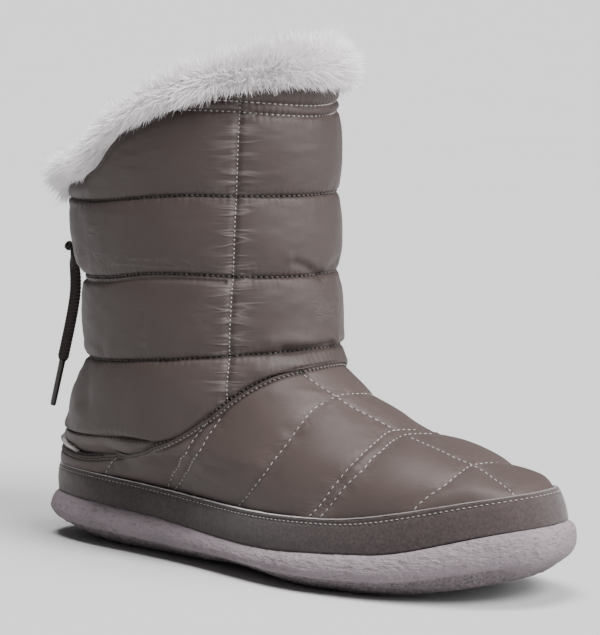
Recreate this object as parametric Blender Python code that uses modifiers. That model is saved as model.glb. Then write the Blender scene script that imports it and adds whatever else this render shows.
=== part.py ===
"""Slipper boot, right shoe: a quilted ankle boot with a fur collar on a moulded slipper sole.

The upper and the shaft are one family of tilted closed rings around the last, from the sole edge
up to the slanted rim of the collar. Every fabric piece is cut from that family.
Frame: +X towards the toe, +Y towards the wearer's left (the inner side), +Z up, floor at z = 0.
Lengths are in metres.
"""
import bpy
import bmesh
import math
from mathutils import Matrix, Vector

# ---------------------------------------------------------------- driving sizes
COLUMNS = 52                 # ring divisions of the foot part, back centre first
HEEL_SHARE = 0.22            # share of a ring's length where the heel's width ends
BALL_SHARE = 0.68            # and where the ball's width is reached
ARCH_SHARE = 0.42            # the waist's middle
END_CROWDING = 0.12          # how much closer the divisions lie at heel and toe
SHAFT_COLUMNS = 40           # ring divisions of the shaft, from slit edge to slit edge
SLANT_POWER = 1.55           # form of the rim's climb
RIM_SAG = 0.170              # share of its climb that the rim loses at its lowest place
RIM_SAG_AT = 0.29            # share of its length where that is
RIM_SAG_WIDTH = 0.12
GAP = 0.0003                 # clearance between pieces that touch on the real shoe

UPPER_WALL = 0.0042          # shell fabric, wadding and lining of the foot part
SHAFT_WALL = 0.0048          # the same on the shaft, where the wadding is thicker
RAND_THICKNESS = 0.0020      # suede band round the foot
INSOLE_THICKNESS = 0.0050
INSOLE_CLEAR = 0.0026        # the upper leans in over the insole's edge

SOLE_ARCH_LIFT = 0.0021      # hollow of the sole between heel and ball
SOLE_TOE_LIFT = 0.0092       # toe spring of the sole's lower edge
SOLE_HEEL_LIFT = 0.0020      # bevel at the very back

SHAFT_PUFF = 0.0034          # how far a wadded band stands out between its seams
ANKLE_PUFF = 0.0042
RIM_PUFF = 0.0012            # the narrow band under the collar
RIM_FADE = 0.0080            # height under the rim over which the puff dies away
TOP_SEAM_Z = 0.2015          # level seam under the collar; the slanted rim cuts it off
SLIT_BOTTOM_Z = 0.0900       # the laced slit at the back of the shaft
SLIT_HALF = 0.0035
SLIT_FLATNESS = 0.75         # share of the puff that is lost beside the slit
SLIT_FACING = 0.0100         # half width of the flat facing, and of its run-out
SLIT_FLARE = 0.0060          # extra half width of the slit at the rim

EYELET_HEIGHTS = (0.0970, 0.1140, 0.1310)
EYELET_EDGE = 0.0060         # eyelet centre to slit edge
EYELET_HOLE = 0.0034         # radius of the hole in the shaft
EYELET_BORE = 0.0021         # radius the lace runs through
EYELET_FLANGE = 0.0046       # radius of the rolled rim
LACE_WIDTH = 0.0046
LACE_THICKNESS = 0.0012
LACE_LAYER = 0.00013         # each run of the lace lies this much over the one before
LACE_CLEAR = 0.0026          # shaft surface to the underside of the lace bars
LACE_SPARE = 0.0010          # how far a bar runs past the eyelet's centre

AGLET_RADIUS = 0.0014
AGLET_LENGTH = 0.0215
LACE_TUBE_RADIUS = 0.0016

# Rings of the last, lowest first. back_x, front_x: ends of the ring; back_z, front_z: its heights
# there; the half widths are at the heel, and at the ball on the outer (-Y) and inner (+Y) side;
# the waists pull the sides in at the arch; square: superellipse powers; rise: the stretch of the
# ring, as a share of its length, over which it climbs; shift: the toe's lean towards +Y;
# dip: how far the middle of the ring hangs; slant: 1 where the climb starts at once at the back,
# as the rim's does, and eases off towards the front.
RING_COLUMNS = ("back_x", "front_x", "back_z", "front_z", "heel_half", "out_half", "in_half",
                "out_waist", "in_waist", "back_square", "front_square", "rise_from", "rise_to",
                "shift", "dip", "slant")
RINGS = (
    # sole edge
    (-0.1315, 0.1310, 0.0207, 0.0336, 0.0290, 0.0446, 0.0426, .0020, .0060, 3.4, 2.45,
     0.76, 1.04, .0030, .0057, 0.0),
    # top of the rand
    (-0.1310, 0.1268, 0.0328, 0.0482, 0.0294, 0.0428, 0.0408, .0020, .0050, 3.2, 2.40,
     0.69, 1.10, .0030, .0034, 0.0),
    # front of the toe box
    (-0.1300, 0.1198, 0.0378, 0.0496, 0.0310, 0.0428, 0.0408, .0016, .0040, 3.0, 2.35,
     0.60, 1.05, .0030, .0022, 0.0),
    # top of the toe box
    (-0.1290, 0.1070, 0.0415, 0.0530, 0.0325, 0.0424, 0.0404, .0010, .0030, 2.8, 2.30,
     0.52, 1.03, .0028, .0012, 0.0),
    # ball
    (-0.1280, 0.0840, 0.0445, 0.0586, 0.0345, 0.0422, 0.0406, .0006, .0020, 2.6, 2.25,
     0.48, 1.02, .0022, .0005, 0.0),
    # waist
    (-0.1270, 0.0580, 0.0470, 0.0641, 0.0370, 0.0426, 0.0414, .0002, .0010, 2.5, 2.20,
     0.50, 1.02, .0014, .0000, 0.0),
    # instep
    (-0.1255, 0.0340, 0.0490, 0.0760, 0.0390, 0.0434, 0.0426, .0000, .0000, 2.4, 2.15,
     0.54, 1.03, .0006, .0000, 0.0),
    # border between foot part and shaft
    (-0.1240, 0.0145, 0.0505, 0.0890, 0.0405, 0.0444, 0.0436, .0000, .0000, 2.3, 2.10,
     0.57, 1.03, .0002, -.0040, 0.0),
    # first shaft seam, at the ankle
    (-0.1090, 0.0115, 0.0830, 0.0955, 0.0430, 0.0438, 0.0438, .0000, .0000, 2.15, 2.05,
     0.30, 1.05, .0000, .0000, 0.0),
    # second shaft seam
    (-0.1106, 0.0105, 0.1217, 0.1265, 0.0442, 0.0442, 0.0442, .0000, .0000, 2.1, 2.05,
     0.30, 0.80, .0000, -.0030, 0.0),
    # third shaft seam
    (-0.1202, 0.0105, 0.1552, 0.1608, 0.0448, 0.0448, 0.0448, .0000, .0000, 2.1, 2.05,
     0.30, 0.80, .0000, -.0014, 0.0),
    # rim under the collar
    (-0.1206, 0.0115, 0.1575, 0.2090, 0.0454, 0.0454, 0.0454, .0000, .0000, 2.1, 2.05,
     0.04, 0.72, .0000, .0000, 1.0),
)
SOLE_EDGE, BORDER, ANKLE_SEAM, TOP_LEVEL_SEAM, RIM = 0, 7, 8, 10, 11   # rows of RINGS

# Side of the sole, from its upper edge down: share of the height, and how far it stands outside
# the sole edge along the sides, at the heel and at the toe.
SOLE_PROFILE = (
    # down, side, heel, toe
    (0.00, 0.0020, 0.0016, 0.0024),
    (0.08, 0.0040, 0.0032, 0.0046),
    (0.22, 0.0055, 0.0046, 0.0056),
    (0.42, 0.0058, 0.0051, 0.0055),
    (0.60, 0.0038, 0.0020, 0.0032),
    (0.78, -0.0008, -0.0050, -0.0024),
    (0.92, -0.0060, -0.0125, -0.0080),
    (1.00, -0.0092, -0.0175, -0.0115),
)

# Section of the fur collar round the rim: outward from the shaft's surface and up from the rim,
# and the pile: the share of the lock length that the point takes. It starts inside and runs over
# the seat on the rim, down its outer lip, and back over the top.
COLLAR_SECTION = (
    # out, up, pile
    (-0.0068, -0.0090, 0.0),
    (-0.0068, 0.0017, 0.0),
    (0.0012, 0.0017, 0.0),
    (0.0024, -0.0034, 0.0),
    (0.0052, -0.0050, 0.7),
    (0.0080, -0.0020, 1.0),
    (0.0086, 0.0028, 1.0),
    (0.0074, 0.0070, 1.0),
    (0.0036, 0.0104, 1.0),
    (-0.0024, 0.0120, 1.0),
    (-0.0090, 0.0108, 1.0),
    (-0.0140, 0.0066, 1.0),
    (-0.0156, 0.0004, 0.9),
    (-0.0130, -0.0070, 0.6),
)
COLLAR_STATIONS = 56
LOCK_LENGTH = 0.0030
COLLAR_HEART = (-0.0035, 0.0040)   # out and up from the rim of the point the locks radiate from
COLLAR_REACH = 0.0150        # rim height over the third seam from which the collar hangs in full
COLLAR_END_SIZE = 0.72       # thickness of the collar at the slit
COLLAR_FRONT = 0.31          # how much taller the collar stands at the front than at the sides
COLLAR_FRONT_WIDTH = 0.13    # over this share of its length on each side of the front

# Routes of the two lace ends, from the knot down to the aglets.
LACE_END_OUTER = (
    (-0.1201, -0.0069, 0.1300),
    (-0.1208, -0.0122, 0.1268),
    (-0.1192, -0.0150, 0.1215),
    (-0.1177, -0.0155, 0.1160),
    (-0.1182, -0.0158, 0.1085),
    (-0.1199, -0.0162, 0.0995),
    (-0.1217, -0.0166, 0.0905),
    (-0.1234, -0.0170, 0.0820),
)
LACE_END_INNER = (
    (-0.1201, 0.0069, 0.1300),
    (-0.1208, 0.0120, 0.1266),
    (-0.1193, 0.0149, 0.1212),
    (-0.1179, 0.0156, 0.1155),
    (-0.1184, 0.0160, 0.1080),
    (-0.1200, 0.0163, 0.0990),
    (-0.1216, 0.0165, 0.0900),
    (-0.1231, 0.0166, 0.0815),
)
KNOT_CENTRE = (-0.1199, 0.0, 0.1305)
KNOT_SIZE = (0.0030, 0.0060, 0.0044)   # half sizes

TAB_LEVELS = (3.0, 3.8, 4.6, 5.4)
TAB_FROM = 0.10              # ring angle of the tab's rear end
TAB_TURN = 0.42
TAB_STEPS = 5
TAB_THICKNESS = 0.0013
TAB_CLEAR = 0.0005           # the tape stands this far off the curved heel

SHELL_COLOUR = (0.15, 0.125, 0.118)
SUEDE_COLOUR = (0.10, 0.075, 0.078)
SOLE_COLOUR = (0.30, 0.26, 0.275)
FUR_COLOUR = (0.62, 0.58, 0.57)
LACE_COLOUR = (0.025, 0.02, 0.02)


# ---------------------------------------------------------------- the last
def smooth(t):
    t = min(max(t, 0.0), 1.0)
    return t * t * (3 - 2 * t)


def ring_slope(index, column):
    """Slope of one column at one ring: zero at a turning point, harmonic mean elsewhere."""
    last = len(RINGS) - 1
    if index == 0:
        return RINGS[1][column] - RINGS[0][column]
    if index == last:
        return RINGS[last][column] - RINGS[last - 1][column]
    before = RINGS[index][column] - RINGS[index - 1][column]
    after = RINGS[index + 1][column] - RINGS[index][column]
    if before * after <= 0:
        return 0.0
    return 2 * before * after / (before + after)


def ring_at(level):
    """The ring at any level between two rows of RINGS, by smooth interpolation."""
    low = min(int(level), len(RINGS) - 2)
    t = level - low
    ring = {}
    for column, name in enumerate(RING_COLUMNS):
        start = RINGS[low][column]
        end = RINGS[low + 1][column]
        leaving = ring_slope(low, column)
        arriving = ring_slope(low + 1, column)
        ring[name] = ((2 * t**3 - 3 * t**2 + 1) * start + (t**3 - 2 * t**2 + t) * leaving
                      + (3 * t**2 - 2 * t**3) * end + (t**3 - t**2) * arriving)
    return ring


def along_ring(ring, share):
    """Height of a ring at a share of its length from back to front."""
    climb = smooth((share - ring["rise_from"]) / (ring["rise_to"] - ring["rise_from"]))
    rim = 1 - max(0.0, 1 - share)**SLANT_POWER
    rim -= RIM_SAG * math.exp(-((share - RIM_SAG_AT) / RIM_SAG_WIDTH)**2)
    climb += ring["slant"] * (rim - climb)
    sag = ring["dip"] * math.exp(-((share - 0.5) / 0.25)**2)
    return ring["back_z"] + (ring["front_z"] - ring["back_z"]) * climb - sag


def ring_point(ring, angle, side=0.0, heel=None, toe=None):
    """Point of a ring, moved out by side. Angle 0 is the back centre, pi the front."""
    heel = side if heel is None else heel
    toe = side if toe is None else toe
    lengthwise = math.cos(angle)
    towards_toe = (1 - lengthwise) / 2
    power = ring["back_square"] + (ring["front_square"] - ring["back_square"]) * towards_toe
    crosswise = max(0.0, 1 - abs(lengthwise)**power)**(1 / power)
    back, front = ring["back_x"] - heel, ring["front_x"] + toe
    x = (back + front) / 2 - (front - back) / 2 * lengthwise
    share = (x - back) / (front - back)
    inner = math.sin(angle) >= 0
    ball = ring["in_half"] if inner else ring["out_half"]
    waist = ring["in_waist"] if inner else ring["out_waist"]
    half = ring["heel_half"] + (ball - ring["heel_half"]) * smooth(
        (share - HEEL_SHARE) / (BALL_SHARE - HEEL_SHARE))
    half += side - waist * math.exp(-((share - ARCH_SHARE) / 0.14)**2)
    y = (half if inner else -half) * crosswise + ring["shift"] * smooth((share - 0.55) / 0.45)
    return Vector((x, y, along_ring(ring, share)))


def even_angle(turn):
    """Ring angle for a share of a full turn, with the divisions closer at heel and toe."""
    angle = 2 * math.pi * turn
    return angle - END_CROWDING / 2 * math.sin(2 * angle)


def outward(ring, angle):
    """Level unit vector that points out of a ring."""
    step = 0.01
    along = ring_point(ring, angle + step) - ring_point(ring, angle - step)
    return Vector((-along.y, along.x, 0.0)).normalized()


# ---------------------------------------------------------------- the shaft
def slit_half(z):
    rim_z = RINGS[RIM][2]
    share = min(max((z - SLIT_BOTTOM_Z) / (rim_z - SLIT_BOTTOM_Z), 0.0), 1.0)
    return SLIT_HALF + SLIT_FLARE * share**1.5


def back_angle(ring, reach):
    """Angle of the ring's point that lies a distance beside the back centre."""
    power = ring["back_square"]
    return math.acos((1 - (reach / ring["heel_half"])**power)**(1 / power))


def slit_angle(level):
    ring = ring_at(level)
    return back_angle(ring, slit_half(ring["back_z"]))


def band_puff(share):
    return math.sqrt(max(0.0, 1 - (2 * share - 1)**2))


def shaft_puff(level, angle, z):
    """How far the wadding pushes the shaft out at a level."""
    if level < ANKLE_SEAM:
        return ANKLE_PUFF * band_puff(level - BORDER)
    if level <= TOP_LEVEL_SEAM:
        return SHAFT_PUFF * band_puff(level % 1.0)
    seam_z = ring_point(ring_at(TOP_LEVEL_SEAM), angle).z
    rim_z = ring_point(ring_at(RIM), angle).z
    if z < TOP_SEAM_Z:
        puff = SHAFT_PUFF * band_puff((z - seam_z) / (TOP_SEAM_Z - seam_z))
    else:
        puff = RIM_PUFF * band_puff((z - TOP_SEAM_Z) / (rim_z - TOP_SEAM_Z))
    return puff * smooth((rim_z - z) / RIM_FADE)


def shaft_point(level, angle, lift=0.0):
    """Point of the shaft's outer surface. The puff fades beside the laced slit."""
    ring = ring_at(level)
    point = ring_point(ring, angle)
    puff = shaft_puff(level, angle, point.z)
    if point.x < -0.08 and level > ANKLE_SEAM - 0.4:
        flat = 1 - smooth((abs(point.y) - SLIT_FACING) / SLIT_FACING)
        above = smooth((level - ANKLE_SEAM + 0.4) / 0.4)
        puff *= 1 - above * flat * SLIT_FLATNESS
    return point + outward(ring, angle) * (puff + lift)


# ---------------------------------------------------------------- mesh helpers
def material(name, colour, roughness, metallic=0.0):
    made = bpy.data.materials.new(name)
    made.use_nodes = True
    shader = made.node_tree.nodes["Principled BSDF"]
    shader.inputs["Base Color"].default_value = (*colour, 1.0)
    shader.inputs["Roughness"].default_value = roughness
    shader.inputs["Metallic"].default_value = metallic
    return made


def link(obj, finish):
    parts.objects.link(obj)
    obj.data.materials.clear()
    obj.data.materials.append(finish)
    if obj.type == "MESH":
        obj.data.shade_smooth()
        obj.data.set_sharp_from_angle(angle=math.radians(40))
    return obj


def loft(name, rings, finish, closed=True, start_cap=False, end_cap=False, wrap=False, skip=None):
    """Mesh through rings of equal length.

    A cap joins left and right points of the same column; wrap joins the last ring to the first;
    skip(row) leaves the closing column of that row open.
    """
    mesh = bpy.data.meshes.new(name)
    shape = bmesh.new()
    rows = [[shape.verts.new(point) for point in ring] for ring in rings]
    count = len(rows[0])
    pairs = list(zip(rows, rows[1:]))
    if wrap:
        pairs.append((rows[-1], rows[0]))
    for row, (low, high) in enumerate(pairs):
        for column in range(count if closed else count - 1):
            after = (column + 1) % count
            if after == 0 and skip and skip(row):
                continue
            shape.faces.new((low[column], low[after], high[after], high[column]))
    for wanted, ring in ((start_cap, rows[0]), (end_cap, rows[-1])):
        if not wanted:
            continue
        for column in range(count // 2):
            corners = [ring[column], ring[column + 1], ring[count - column - 1], ring[-column]]
            shape.faces.new(list(dict.fromkeys(corners)))
    bmesh.ops.recalc_face_normals(shape, faces=shape.faces)
    shape.to_mesh(mesh)
    shape.free()
    return link(bpy.data.objects.new(name, mesh), finish)


def foot_angles():
    return [even_angle(column / COLUMNS) for column in range(COLUMNS)]


def foot_ring(level, side=0.0, raise_by=0.0):
    ring = ring_at(level)
    return [ring_point(ring, angle, side) + Vector((0, 0, raise_by)) for angle in foot_angles()]


def thicken(obj, thickness):
    wall = obj.modifiers.new("wall", "SOLIDIFY")
    wall.thickness = thickness
    wall.offset = -1.0
    wall.use_even_offset = False


# ---------------------------------------------------------------- sole and insole
def sole_top(x):
    """Height of the sole's upper face, which the rand's lower edge follows."""
    ring = ring_at(SOLE_EDGE)
    reach = GAP + RAND_THICKNESS
    share = (x - ring["back_x"] + reach) / (ring["front_x"] - ring["back_x"] + 2 * reach)
    return along_ring(ring, min(max(share, 0.0), 1.0)) - GAP


def sole_bottom(share):
    """Height of the sole's underside, flat under the heel and the ball."""
    arch = max(0.0, 1 - ((share - 0.48) / 0.15)**2)**2 * SOLE_ARCH_LIFT
    toe = max(0.0, (share - 0.755) / 0.245)**1.5 * SOLE_TOE_LIFT
    heel = max(0.0, (0.07 - share) / 0.07)**1.5 * SOLE_HEEL_LIFT
    return arch + toe + heel


def build_outsole(finish):
    edge = ring_at(SOLE_EDGE)
    rings = []
    for down, side, heel, toe in SOLE_PROFILE:
        outline = []
        back, front = edge["back_x"] - heel, edge["front_x"] + toe
        for angle in foot_angles():
            point = ring_point(edge, angle, side, heel, toe)
            share = (point.x - back) / (front - back)
            top = sole_top(point.x)
            point.z = top + (sole_bottom(share) - top) * down
            outline.append(point)
        rings.append(outline)
    return loft("outsole", rings, finish, start_cap=True, end_cap=True)


def build_insole(finish):
    edge = ring_at(SOLE_EDGE)
    inset = UPPER_WALL + INSOLE_CLEAR
    rings = []
    for lift, side in ((GAP, -inset), (INSOLE_THICKNESS * 0.75, -inset),
                       (INSOLE_THICKNESS, -inset - 0.0012)):
        outline = []
        for angle in foot_angles():
            point = ring_point(edge, angle, side)
            point.z = sole_top(point.x) + lift
            outline.append(point)
        rings.append(outline)
    return loft("insole", rings, finish, start_cap=True, end_cap=True)


# ---------------------------------------------------------------- upper and rand
def build_upper(finish):
    """The foot part: one hollow wall, open underneath and at the border with the shaft."""
    levels = [0, 0.5, 1, 1.5, 2, 2.5, 3, 3.5, 4, 5, 5.5, 6, 6.5, BORDER]
    rings = [foot_ring(level) for level in levels]
    for low, above in zip(rings[0], rings[1]):
        low.xy = above.xy
        low.z = sole_top(low.x) + 2 * GAP
    rings[-1] = foot_ring(BORDER, raise_by=-GAP)
    obj = loft("upper", rings, finish)
    thicken(obj, UPPER_WALL)
    return obj


def build_rand(finish):
    outer = GAP + RAND_THICKNESS
    inner = GAP + 0.0002
    section = ((0.0, inner), (0.0, outer), (0.35, outer + 0.0004), (0.7, outer + 0.0003),
               (1.0, outer - 0.0003), (1.04, outer - 0.0010), (1.03, inner), (0.5, inner))
    rings = [foot_ring(level, side) for level, side in section]
    return loft("rand", rings, finish, wrap=True)


# ---------------------------------------------------------------- shaft
def shaft_levels():
    """Levels of the shaft's rows: close together beside each seam, where the wadding dives in."""
    levels = []
    for band in range(BORDER, TOP_LEVEL_SEAM):
        levels += [band + share for share in (0.0, 0.14, 0.5, 0.86)]
    return levels + [TOP_LEVEL_SEAM + share for share in (0.0, 0.12, 0.42, 0.72, 0.86, 1.0)]


def build_shaft(finish):
    levels = shaft_levels()
    rings = []
    for level in levels:
        start = slit_angle(level)
        turn = 2 * math.pi - 2 * start
        angles = [start + turn * column / SHAFT_COLUMNS for column in range(SHAFT_COLUMNS + 1)]
        rings.append([shaft_point(level, angle) for angle in angles])
    rings[0] = [point + Vector((0, 0, GAP)) for point in rings[0]]

    def in_slit(row):
        return rings[row][0].z > SLIT_BOTTOM_Z - 0.004

    obj = loft("shaft", rings, finish, skip=in_slit)
    thicken(obj, SHAFT_WALL)
    for eyelet in eyelet_frames():
        cut = eyelet_cutter(eyelet)
        hole = obj.modifiers.new("eyelet hole", "BOOLEAN")
        hole.operation = "DIFFERENCE"
        hole.object = cut
    return obj


# ---------------------------------------------------------------- eyelets and lace
def level_at_back(z):
    """Level of the shaft's ring whose back end is at a height."""
    low, high = float(BORDER), float(RIM)
    for _ in range(30):
        middle = (low + high) / 2
        if ring_at(middle)["back_z"] < z:
            low = middle
        else:
            high = middle
    return low


def eyelet_frames():
    """Name, centre on the shaft's surface and outward normal of each eyelet."""
    frames = []
    for number, z in enumerate(EYELET_HEIGHTS, 1):
        level = level_at_back(z)
        ring = ring_at(level)
        spread = back_angle(ring, slit_half(z) + EYELET_EDGE)
        for side, angle in (("inner", spread), ("outer", -spread)):
            centre = shaft_point(level, angle)
            across = shaft_point(level, angle + 0.05) - shaft_point(level, angle - 0.05)
            upward = shaft_point(level + 0.05, angle) - shaft_point(level - 0.05, angle)
            normal = across.cross(upward).normalized()
            if normal.dot(outward(ring, angle)) < 0:
                normal = -normal
            frames.append((f"eyelet_{side}_{number}", centre, normal))
    return frames


def stand_on(centre, normal):
    """Placement of a piece turned about its own Z on the shaft."""
    return Matrix.Translation(centre) @ normal.to_track_quat("Z", "Y").to_matrix().to_4x4()


def eyelet_cutter(eyelet):
    name, centre, normal = eyelet
    mesh = bpy.data.meshes.new(name + "_hole")
    shape = bmesh.new()
    bmesh.ops.create_cone(shape, cap_ends=True, segments=12, radius1=EYELET_HOLE,
                          radius2=EYELET_HOLE, depth=5 * SHAFT_WALL)
    shape.to_mesh(mesh)
    shape.free()
    cutter = bpy.data.objects.new(name + "_hole", mesh)
    cutter.matrix_world = stand_on(centre, normal)
    cutter.hide_render = True
    cutter.display_type = "WIRE"
    cutters.objects.link(cutter)
    return cutter


def build_eyelets(finish):
    """Turned grommets: a barrel through the wall and a rolled flange outside."""
    barrel = EYELET_HOLE - GAP
    inside = GAP / 2 - SHAFT_WALL
    profile = ((EYELET_BORE, inside), (barrel, inside), (barrel, 0.0008), (EYELET_FLANGE, 0.0008),
               (EYELET_FLANGE - 0.0002, 0.0014), (EYELET_BORE + 0.0006, 0.0017),
               (EYELET_BORE, 0.0013))
    mesh = bpy.data.meshes.new("eyelet")
    shape = bmesh.new()
    points = [shape.verts.new((radius, 0, height)) for radius, height in profile]
    for start, end in zip(points, points[1:] + points[:1]):
        shape.edges.new((start, end))
    shape.to_mesh(mesh)
    shape.free()
    for name, centre, normal in eyelet_frames():
        obj = link(bpy.data.objects.new(name, mesh.copy()), finish)
        obj.matrix_world = stand_on(centre, normal)
        turn = obj.modifiers.new("turn", "SCREW")
        turn.steps = 12
        turn.render_steps = 12
        turn.use_merge_vertices = True
        turn.merge_threshold = 0.00005
        turn.use_normal_flip = True


def lace_bar(name, start, end, normal, spare):
    """A flat run of lace between two points, and a little spare beyond each."""
    along = end - start
    across = normal.cross(along).normalized()
    out = along.cross(across).normalized()
    turn = Matrix((along.normalized(), across, out)).transposed().to_4x4()
    mesh = bpy.data.meshes.new(name)
    shape = bmesh.new()
    bmesh.ops.create_cube(shape, size=1.0)
    shape.to_mesh(mesh)
    shape.free()
    size = (along.length + 2 * spare, LACE_WIDTH, LACE_THICKNESS)
    mesh.transform(Matrix.Translation((start + end) / 2) @ turn @ Matrix.Diagonal((*size, 1.0)))
    return bpy.data.objects.new(name, mesh)


def build_lace_crossings(finish):
    """The lace between the eyelets: a bar at the bottom, two crosses and the bar under the knot."""
    seats = {}
    for name, centre, normal in eyelet_frames():
        back = Vector((normal.x, 0, normal.z)).normalized()
        seats[name] = centre + back * (LACE_CLEAR + LACE_THICKNESS / 2)
    runs = [("outer_1", "inner_1"), ("outer_1", "inner_2"), ("inner_1", "outer_2"),
            ("outer_2", "inner_3"), ("inner_2", "outer_3"), ("outer_3", "inner_3")]
    backwards = Vector((-1, 0, 0))
    bars = []
    for number, (start, end) in enumerate(runs):
        over = backwards * LACE_LAYER * number
        spare = LACE_SPARE + LACE_LAYER * number
        bars.append(lace_bar(f"lace_run_{number}", seats["eyelet_" + start] + over,
                             seats["eyelet_" + end] + over, backwards, spare))
    whole = link(bars[0], finish)
    whole.name = "lace_crossings"
    for bar in bars[1:]:
        bar.hide_render = True
        bar.display_type = "WIRE"
        cutters.objects.link(bar)
        joint = whole.modifiers.new("join", "BOOLEAN")
        joint.operation = "UNION"
        joint.object = bar
    return whole


def build_knot(finish):
    mesh = bpy.data.meshes.new("lace_knot")
    shape = bmesh.new()
    bmesh.ops.create_uvsphere(shape, u_segments=12, v_segments=7, radius=1.0)
    for vert in shape.verts:
        lump = 1 + 0.10 * math.sin(5 * math.atan2(vert.co.y, vert.co.z))
        vert.co = vert.co * Vector(KNOT_SIZE) * lump
    shape.to_mesh(mesh)
    shape.free()
    obj = link(bpy.data.objects.new("lace_knot", mesh), finish)
    obj.location = KNOT_CENTRE
    return obj


def smooth_route(points, steps):
    """Points on a smooth curve through the route's own points."""
    route = []
    ends = [points[0] * 2 - points[1]] + points + [points[-1] * 2 - points[-2]]
    for before, start, end, after in zip(ends, ends[1:], ends[2:], ends[3:]):
        for step in range(steps):
            t = step / steps
            route.append(0.5 * (2 * start + (end - before) * t
                                + (2 * before - 5 * start + 4 * end - after) * t * t
                                + (3 * start - before - 3 * end + after) * t**3))
    return route + [points[-1]]


def build_lace_end(side, points, cord_finish, tip_finish):
    """A hanging lace end and the aglet on it."""
    route = smooth_route([Vector(point) for point in points], 2)
    curve = bpy.data.curves.new("lace_end_" + side, "CURVE")
    curve.dimensions = "3D"
    curve.bevel_depth = LACE_TUBE_RADIUS
    curve.bevel_resolution = 2
    curve.use_fill_caps = True
    spline = curve.splines.new("POLY")
    spline.points.add(len(route) - 1)
    for spot, point in zip(spline.points, route):
        spot.co = (*point, 1.0)
    link(bpy.data.objects.new("lace_end_" + side, curve), cord_finish)
    along = (route[-1] - route[-2]).normalized()
    mesh = bpy.data.meshes.new("aglet_" + side)
    shape = bmesh.new()
    bmesh.ops.create_cone(shape, cap_ends=True, segments=10, radius1=AGLET_RADIUS,
                          radius2=AGLET_RADIUS * 0.8, depth=AGLET_LENGTH)
    shape.to_mesh(mesh)
    shape.free()
    aglet = link(bpy.data.objects.new("aglet_" + side, mesh), tip_finish)
    centre = route[-1] + along * (GAP + AGLET_LENGTH / 2)
    aglet.matrix_world = stand_on(centre, along)


# ---------------------------------------------------------------- collar and heel tab
def build_collar(finish):
    """Fur ring over the rim, open at the slit, with locks raised out of its surface."""
    ring = ring_at(RIM)
    start = slit_angle(RIM)
    turn = 2 * math.pi - 2 * start
    rings = []
    for station in range(COLLAR_STATIONS + 1):
        share = station / COLLAR_STATIONS
        angle = start + turn * share
        base = ring_point(ring, angle)
        out = outward(ring, angle)
        taper = COLLAR_END_SIZE + (1 - COLLAR_END_SIZE) * smooth(min(share, 1 - share) / 0.03)
        seam_z = ring_point(ring_at(TOP_LEVEL_SEAM), angle).z
        droop = min(1.0, (base.z - seam_z) / COLLAR_REACH)
        tall = 1 + COLLAR_FRONT * math.exp(-((share - 0.5) / COLLAR_FRONT_WIDTH)**2)
        section = []
        for spot, (outer, up, pile) in enumerate(COLLAR_SECTION):
            up *= droop if up < 0 else (tall if pile > 0 else 1.0)
            lock = math.sin(station * 2.4 + spot * 1.7) * math.cos(station * 1.3 - spot * 2.9)
            comb = 1.0 if (station + spot) % 2 else -0.35
            length = LOCK_LENGTH * pile * (0.45 * comb + 0.55 * lock)
            reach = (Vector((outer, up)) - Vector(COLLAR_HEART)).normalized() * length
            scale = taper if pile > 0 else 1.0
            section.append(base + out * (outer * scale + reach.x)
                           + Vector((0, 0, up * scale + reach.y)))
        rings.append(section)
    mesh = bpy.data.meshes.new("collar")
    shape = bmesh.new()
    rows = [[shape.verts.new(point) for point in section] for section in rings]
    count = len(COLLAR_SECTION)
    for low, high in zip(rows, rows[1:]):
        for spot in range(count):
            after = (spot + 1) % count
            shape.faces.new((low[spot], low[after], high[after], high[spot]))
    for section in (rows[0], rows[-1]):
        bmesh.ops.triangulate(shape, faces=[shape.faces.new(section)])
    bmesh.ops.recalc_face_normals(shape, faces=shape.faces)
    shape.to_mesh(mesh)
    shape.free()
    return link(bpy.data.objects.new("collar", mesh), finish)


def build_heel_tab(finish):
    """Folded tape under the border seam at the outer side of the heel."""
    rows = []
    for level in TAB_LEVELS:
        ring = ring_at(level)
        row = []
        for step in range(TAB_STEPS + 1):
            angle = -TAB_FROM - TAB_TURN * step / TAB_STEPS
            row.append(ring_point(ring, angle) + outward(ring, angle) * (TAB_THICKNESS + TAB_CLEAR))
        rows.append(row)
    obj = loft("heel_tab", rows, finish, closed=False)
    thicken(obj, TAB_THICKNESS)
    return obj


# ---------------------------------------------------------------- the shoe
def build_shoe():
    shell = material("shell_fabric", SHELL_COLOUR, 0.55)
    suede = material("suede", SUEDE_COLOUR, 0.9)
    rubber = material("sole_rubber", SOLE_COLOUR, 0.8)
    fleece = material("fleece", FUR_COLOUR, 1.0)
    fur = material("fur", FUR_COLOUR, 1.0)
    lace = material("lace", LACE_COLOUR, 0.8)
    aglet = material("aglet", LACE_COLOUR, 0.4)
    metal = material("eyelet_metal", (0.10, 0.09, 0.085), 0.4, 1.0)
    tape = material("tape", (0.55, 0.55, 0.55), 0.8)
    build_outsole(rubber)
    build_insole(fleece)
    build_upper(shell)
    build_rand(suede)
    build_shaft(shell)
    build_collar(fur)
    build_heel_tab(tape)
    build_eyelets(metal)
    build_lace_crossings(lace)
    build_knot(lace)
    build_lace_end("outer", LACE_END_OUTER, lace, aglet)
    build_lace_end("inner", LACE_END_INNER, lace, aglet)


for old in list(bpy.data.objects):
    bpy.data.objects.remove(old)
parts = bpy.data.collections.new("slipper_boot")
cutters = bpy.data.collections.new("cutters")
bpy.context.scene.collection.children.link(parts)
bpy.context.scene.collection.children.link(cutters)
build_shoe()
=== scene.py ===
"""Slipper boot, right shoe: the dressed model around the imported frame.

The outside is rebuilt from the same family of rings as the solids, with the quilting, creases,
stitches, fur and fleece added to it. Lengths are in metres, in the frame's own axes.
"""
import itertools
import math

import bpy
import numpy as np
from mathutils import Matrix, Vector


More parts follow.
